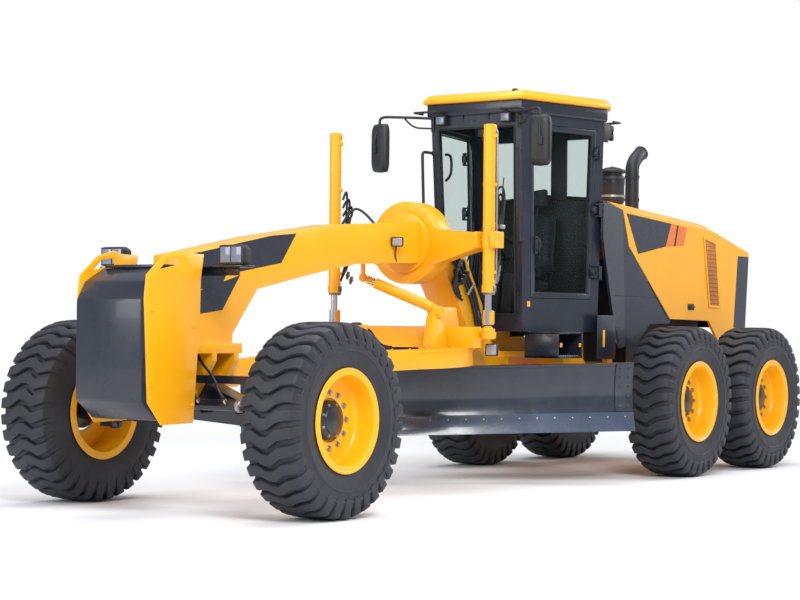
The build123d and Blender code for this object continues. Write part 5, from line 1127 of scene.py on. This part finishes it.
    def build_valve(self) -> None:
        """Builds the hydraulic valve on the leg and its loops of hose."""
        parts = [block((3010, 178, 1750), (150, 52, 90), 6.0, (0, -52, 0)),
                 block((3070, 182, 1690), (60, 60, 60), 6.0, (0, -52, 0))]
        parts += [lathe(((0, 0), (16, 0), (16, 40), (12, 46), (0, 46)), (2990 + k * 42, 205, 1765 - k * 34),
                        Y_AXIS, 16) for k in range(3)]
        self.add("leg_valve", CAST_BLACK, *parts)
        loops = [pipe([(2960 + 40 * k, 195 + 8 * k, 1790 - 34 * k), (3030 + 46 * k, 226 + 8 * k, 1900 - 30 * k),
                       (3150 + 20 * k, 232, 1800 - 60 * k), (3110 + 16 * k, 206, 1640 - 26 * k),
                       (3020 - 20 * k, 176, 1600 - 30 * k)], 12.0) for k in range(3)]
        self.add("valve_hoses", HOSE, *loops)
        tips = [lathe(((0, -16), (15, -16), (15, 10), (11, 18), (0, 18)), (2960 + 40 * k, 190 + 8 * k, 1782 - 34 * k),
                      (0.3, 0.2, 0.8), 6) for k in range(3)]
        self.add("valve_fittings", BRASS, *tips)

    def build_leg_hoses(self, word: str, s: int) -> None:
        """Builds the hoses clipped along the leg's flank."""
        route = ((3205, 1985), (3050, 1930), (2840, 1720), (2700, 1500), (2640, 1260))
        runs = [pipe([(x + k * 34, s * (165 + 2 * k), z - k * 20) for x, z in route], 12.0) for k in range(3)]
        self.add(f"leg_hoses_{word}", HOSE, *runs)
        clips = [block((x + 24, s * 166, z - 20), (128, 36, 26), 4.0, (0, 40, 0))
                 for x, z in ((2990, 1850), (2820, 1650))]
        self.add(f"leg_clips_{word}", BOLT, *clips)


# ------------------------------------------------------------------ lift cylinders
@dataclass
class LiftGear:
    """Lift cylinder on one side: caps, glands, pipes, fittings, hoses and ball cap."""

    word: str
    s: int

    def build(self) -> None:
        """Builds the dress of the barrel, the hoses, the rod and the ball."""
        y = self.s * LIFT_Y
        self.build_barrel(y)
        self.build_hoses(y)
        head = lathe(((28, 0), (40, 0), (46, 8), (46, 104), (40, 112), (28, 112)), (LIFT_X, y, 1333), Z_AXIS, 32)
        settle(f"rod_head_{self.word}", f"lift_rod_{self.word}_body", YELLOW, head)
        cap = lathe(((0, -66), (46, -66), (60, -56), (62, -10), (50, 0), (50, 18), (47, 20), (0, 20)),
                    (LIFT_X, y, 1283), Z_AXIS, 32)
        settle(f"ball_cap_{self.word}", "drawbar_body", YELLOW, cap)
        ring = [((LIFT_X + 54 * math.sin(a), y + 54 * math.cos(a), 1276), Z_AXIS) for a in circle(6)]
        settle(f"ball_bolts_{self.word}", "drawbar_body", BOLT, bolts(ring, 7.0))

    def build_barrel(self, y: float) -> None:
        """Builds the barrel's cap, bands, gland, pipe and ports."""
        s, body = self.s, f"lift_barrel_{self.word}_body"
        top = lathe(((0, 0), (52, 0), (52, 14), (48, 24), (34, 32), (0, 34)), (LIFT_X, y, 2902), Z_AXIS, 32)
        bands = [hoop(48, 56, 26, (LIFT_X, y, z)) for z in (2830, 2440, 1740)]
        settle(f"lift_cap_{self.word}", body, YELLOW, top, *bands)
        gland = lathe(((28, -26), (44, -26), (50, -20), (52, 0), (58, 2), (58, 44), (54, 50), (28, 50)),
                      (LIFT_X, y, 1596), Z_AXIS, 32)
        settle(f"lift_gland_{self.word}", body, STEEL, gland)
        line = pipe([(x, y + out * s, z) for x, out, z in (
            (3434, 10, 1665), (3420, 22, 1700), (3420, 22, 1730), (3420, 22, 2850), (3420, 22, 2890),
            (3448, 10, 2902))], 9.0)
        settle(f"lift_pipe_{self.word}", body, BOLT, line)
        ports = [lathe(((0, 0), (17, 0), (17, 20), (12, 24), (12, 44), (0, 44)), (3455, y, z), (-1, 0.2 * s, 0), 6)
                 for z in (1665, 2070, 2140, 2895)]
        settle(f"lift_ports_{self.word}", body, BRASS, *ports)

    def build_hoses(self, y: float) -> None:
        """Builds the hoses between the barrel and the saddle, and their couplings."""
        s, hoses = self.s, []
        for k, z in ((0, 2070), (1, 2140)):
            hoses.append(pipe([(3412, y + 8 * s, z), (3330 - 30 * k, y - 20 * s, z + 60 + 120 * k),
                               (3240, y - 110 * s, z + 90 + 60 * k), (3180, y - 260 * s, z - 60 + 20 * k),
                               (3200, y - 420 * s, z - 140), (3215, y - 560 * s, 1960 + 30 * k)], 11.0))
        for k in range(3):
            hoses.append(pipe([(3405, y + s * (6 - 14 * k), 1690 + 30 * k), (3350 - 20 * k, y, 1790),
                               (3330, y - s * 10 * k, 1990), (3318, y + s * (20 - 16 * k), 2200),
                               (3296 - 18 * k, y + s * (22 - 18 * k), 2400 - 60 * k),
                               (3340 - 10 * k, y + s * (6 - 14 * k), 2470 - 60 * k),
                               (3398, y - s * 8, 2380 - 70 * k)], 10.0))
        settle(f"lift_hoses_{self.word}", "front_body", HOSE, *hoses)
        joints = [lathe(((0, -30), (15, -30), (15, -4), (20, -4), (20, 8), (13, 8), (13, 34), (0, 34)),
                        (3352 - 20 * k, y + s * (4 - 20 * k), 1780 - 40 * k), (0.35, 0, -1), 6) for k in range(3)]
        bar = block((3350, y - s * 4, 2120), (70, 90, 34), 5.0)
        settle(f"lift_couplings_{self.word}", "front_body", BOLT, bar, *joints)


# ------------------------------------------------------------------ drawbar, circle and blade
SLOPE = math.atan(0.04)                     # the drawbar's fall towards its rear
HEADING = math.radians(50.0)                # the blade's turn on the circle
CIRCLE_X, CIRCLE_Z = 2151.7, 41.0           # circle's centre behind and below the drawbar's pin
BLADE_RADIUS, CURVE_DOWN, CURVE_BACK = 470.0, 305.0, 43.3
BLADE_LONG = 3300


def draw(x: float, y: float, z: float) -> Vector:
    """Point in the drawbar's own coordinates, ahead of its pin, in millimetres."""
    return st(5850 + x * math.cos(SLOPE) + z * math.sin(SLOPE), y, 950 - x * math.sin(SLOPE) + z * math.cos(SLOPE))


def ring_at(x: float, y: float, z: float) -> Vector:
    """Point in the circle's coordinates, its centre as the origin."""
    return draw(x - CIRCLE_X, y, z - CIRCLE_Z)


def blade_at(x: float, y: float, z: float) -> Vector:
    """Point in the blade's coordinates: along it to its right end, forward and up."""
    return ring_at(x * math.cos(HEADING) + y * math.sin(HEADING), -x * math.sin(HEADING) + y * math.cos(HEADING), z)


def blade_way(y: float, z: float) -> Vector:
    """Direction across the blade, from its forward and upward shares."""
    return (blade_at(0, y, z) - blade_at(0, 0, 0)).normalized()


def blade_face(z: float, wall: float = 0.0) -> float:
    """Front face of the moldboard at a height, or the face a wall behind it."""
    return -CURVE_BACK - math.sqrt((BLADE_RADIUS + wall) ** 2 - (z + CURVE_DOWN) ** 2)


@dataclass
class Blade(Assembly):
    """Moldboard, cutting edge, end plates, bolts and top strip."""

    body: str = "blade_body"
    LEFT, RIGHT = -2057.0, 1243.0
    EDGE_BOLTS = 22

    def along(self, outline: Iterable[Point], start: float, end: float) -> Piece:
        """Bar along the blade from an outline of forward offsets and heights."""
        return prism([blade_at(start, y, z) for y, z in outline], blade_at(end, 0, 0) - blade_at(start, 0, 0), 2.0)

    def build(self) -> None:
        """Builds the blade's dress."""
        rounded("moldboard", 2.0, self.body, BLADE_PAINT)
        rounded("cutting_edge", 2.0, self.body, WORN_PAINT)
        heights = [-443 + k * (402 / 8) for k in range(9)]
        section = [(blade_face(z, -11), z) for z in heights] + [(blade_face(z, 3), z) for z in reversed(heights)]
        for word, x0, x1 in (("left", self.LEFT, self.LEFT + 150), ("right", self.RIGHT - 150, self.RIGHT)):
            self.add(f"end_plate_{word}", BLADE_PAINT, self.along(section, x0, x1))
            spots = [(blade_at(x, blade_face(z, -12), z),
                      blade_way(math.sqrt(BLADE_RADIUS ** 2 - (z + CURVE_DOWN) ** 2), -(z + CURVE_DOWN)))
                     for z in (-400, -320, -240, -160, -80) for x in (x0 + 38, x1 - 38)]
            self.add(f"end_bolts_{word}", BLADE_PAINT, bolts(spots, 9.0))
        low, high = (Vector((blade_face(z) + 0.3, z)) for z in (-575.0, -455.0))
        run = (low - high).normalized()
        normal = Vector((-run.y, run.x))
        spot = high + run * 46 + normal * 17
        spots = [(blade_at(self.LEFT + 75 + k * (BLADE_LONG - 150) / (self.EDGE_BOLTS - 1), *spot),
                  blade_way(*normal)) for k in range(self.EDGE_BOLTS)]
        self.add("edge_bolts", STEEL, bolts(spots, 9.0, washer=False))
        strip = [(blade_face(-62, -3), -62), (blade_face(-36, -3), -36), (blade_face(-36, 20), -33),
                 (blade_face(-62, 20), -62)]
        self.add("blade_top_strip", BLADE_PAINT, self.along(strip, self.LEFT, self.RIGHT))


@dataclass
class Drawbar(Assembly):
    """Guard lip and bolts, circle drive with its hoses and valve, ball lamp, and the tower's boss and foot."""

    body: str = "drawbar_body"

    def build(self) -> None:
        """Builds the drawbar's dress."""
        rounded("drawbar", 4.0, self.body, YELLOW)
        axis = ring_at(0, 0, 1) - ring_at(0, 0, 0)
        self.add("guard_lip", YELLOW, hoop(640, 656, 7, ring_at(0, 0, 128), axis, 96))
        angles = [math.radians(-100 + k * 200 / 15) for k in range(16)]
        spots = [(ring_at(600 * math.cos(a), 600 * math.sin(a), 150), axis) for a in angles]
        self.add("guard_bolts", YELLOW, bolts(spots, 10.0))
        self.build_drive(axis)
        web = slab(1, ((3888, 1152), (3392, 1152), (3480, 1470), (3780, 1470)), 396, 452, 8.0)
        self.add("tower_web", YELLOW, web)
        valve = [block(ring_at(470 - 60 * k, -96, 176), (46, 60, 54 + 10 * (k % 2)), 5.0, (0, 2.3, 0))
                 for k in range(3)]
        self.add("drive_valve", YELLOW, *valve)
        self.add("ball_lamp", PLASTIC, block((3360, 716, 1132), (70, 98, 98), 8.0, (0, 0, 24)))
        self.add("ball_lamp_stay", YELLOW, block((3400, 690, 1190), (16, 60, 130), 3.0, (0, 12, 24)))
        self.add("ball_lamp_lens", FOG, block((3396, 732, 1132), (8, 80, 80), 3.0, (0, 0, 24)))
        boss = lathe(((0, -52), (46, -52), (50, -48), (50, 48), (46, 52), (0, 52)), (3730, 420, 1430), Y_AXIS, 32)
        self.add("tower_boss", YELLOW, boss)
        foot = slab(2, ((3600, 352), (3880, 352), (3880, 490), (3600, 490)), 1134, 1152, 4.0)
        self.add("tower_foot", YELLOW, foot)

    def build_drive(self, axis: Vector) -> None:
        """Builds the circle's drive case, motor, hoses and flange bolts."""
        case = lathe(((0, 0), (104, 0), (104, 20), (92, 26), (92, 96), (84, 104), (58, 108), (58, 128), (0, 128)),
                     ring_at(520, 0, 147), axis, 40)
        self.add("circle_drive", YELLOW, case)
        motor = lathe(((0, 0), (50, 0), (50, 60), (44, 84), (30, 92), (0, 92)), ring_at(520, 0, 275), axis, 32)
        port = block(ring_at(474, 0, 310), (44, 70, 44), 5.0, (0, 2.3, 0))
        self.add("drive_motor", CAST_BLACK, motor, port)
        lines = [pipe([ring_at(456, y, 310), ring_at(400, y * 1.5, 320), ring_at(330, y * 2, 250),
                       ring_at(240, y * 2.4, 165), ring_at(120, y * 3, 156)], 11.0) for y in (-18, 18)]
        self.add("drive_hoses", HOSE, *lines)
        flange = [(ring_at(520 + 98 * math.cos(a), 98 * math.sin(a), 168), axis) for a in circle(8)]
        self.add("drive_bolts", BOLT, bolts(flange, 8.0))


# ------------------------------------------------------------------ front axle
class FrontAxle:
    """Caps, glands, hoses and fittings of the leaning, steering front axle."""

    def build(self) -> None:
        """Builds the front axle's dress."""
        rounded("axle_beam", 4.0, "axle_body", CHARCOAL)
        for word, s in SIDES:
            self.build_side(word, s)
        nut = lathe(((0, 0), (58, 0), (58, 10), (50, 16), (26, 18), (0, 18)), (FRONT_X + 146, 0, 860), X_AXIS, 6)
        settle("oscillation_nut", "front_body", CAST_BLACK, nut)

    @staticmethod
    def build_side(word: str, s: int) -> None:
        """Builds one side's yoke, knuckle and steering cylinder trim."""
        yoke, knuckle = f"yoke_{word}", f"knuckle_{word}"
        rounded(yoke, 3.0, f"{yoke}_body", CHARCOAL)
        rounded(knuckle, 3.0, f"{knuckle}_body", CHARCOAL)
        caps = [lathe(((0, 0), (40, 0), (40, 8), (34, 12), (12, 14), (12, 20), (0, 20)),
                      (FRONT_X + d * 97, s * 660, AXLE_Z), (d, 0, 0), 24) for d in (-1, 1)]
        settle(f"lean_caps_{word}", f"{yoke}_body", BOLT, *caps)
        kings = [lathe(((0, 0), (42, 0), (42, 8), (34, 14), (0, 14)), (FRONT_X, s * 800, AXLE_Z + d * 110),
                       (0, 0, d), 24) for d in (-1, 1)]
        settle(f"kingpin_caps_{word}", f"{knuckle}_body", CAST_BLACK, *kings)
        gland = lathe(((19, 0), (40, 0), (44, 4), (44, 34), (38, 40), (19, 40)), (STEER_X, s * 566, 755),
                      (0, s, 0), 32)
        settle(f"steer_gland_{word}", "axle_body", BOLT, gland)
        hoses = [pipe([(STEER_X + 30, s * y, 790), (6440, s * (y - 20), 850), (6400, s * (y - 110), 960),
                       (6300, s * 150, 1060), (6290, s * 120, 1120)], 10.0) for y in (230, 470)]
        settle(f"steer_hoses_{word}", "axle_body", HOSE, *hoses)
        tips = [lathe(((0, -10), (14, -10), (14, 14), (10, 20), (0, 20)), (STEER_X + 22, s * y, 782),
                      (0.6, 0, 0.8), 6) for y in (230, 470)]
        settle(f"steer_fittings_{word}", "axle_body", BRASS, *tips)


# what the CAD nodes that stay are finished in, where it isn't the yellow
NODE_FINISH = {
    "cab_glass": GLASS, "console": PLASTIC, "engine_block": CAST_BLACK,
    **dict.fromkeys(("cab_shell", "cowl", "rear_grille", "circle", "lean_bar", "tie_rod", "tilt_frame"), CHARCOAL),
    **dict.fromkeys(("lift_rod_left", "lift_rod_right", "shift_rod", "side_shift_rod", "steer_rod_left",
                     "steer_rod_right"), CHROME),
}


def dress_nodes() -> None:
    """Gives each CAD node its finish."""
    for name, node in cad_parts.items():
        node.data.materials.clear()
        node.data.materials.append(NODE_FINISH.get(name, YELLOW).material())


def main() -> None:
    """Builds the stage and every sub-assembly in order, and reports each piece."""
    logging.basicConfig(level=logging.INFO, format="%(name)s: %(message)s")
    set_stage()
    dress_nodes()
    build_wheels()
    lifts = [LiftGear(word, s) for word, s in SIDES]
    for assembly in (Hood(), Stacks(), RearBody(), Cab(), FrontFrame(), *lifts, Drawbar(), Blade(), FrontAxle()):
        assembly.build()


if __name__ == "__main__":
    main()
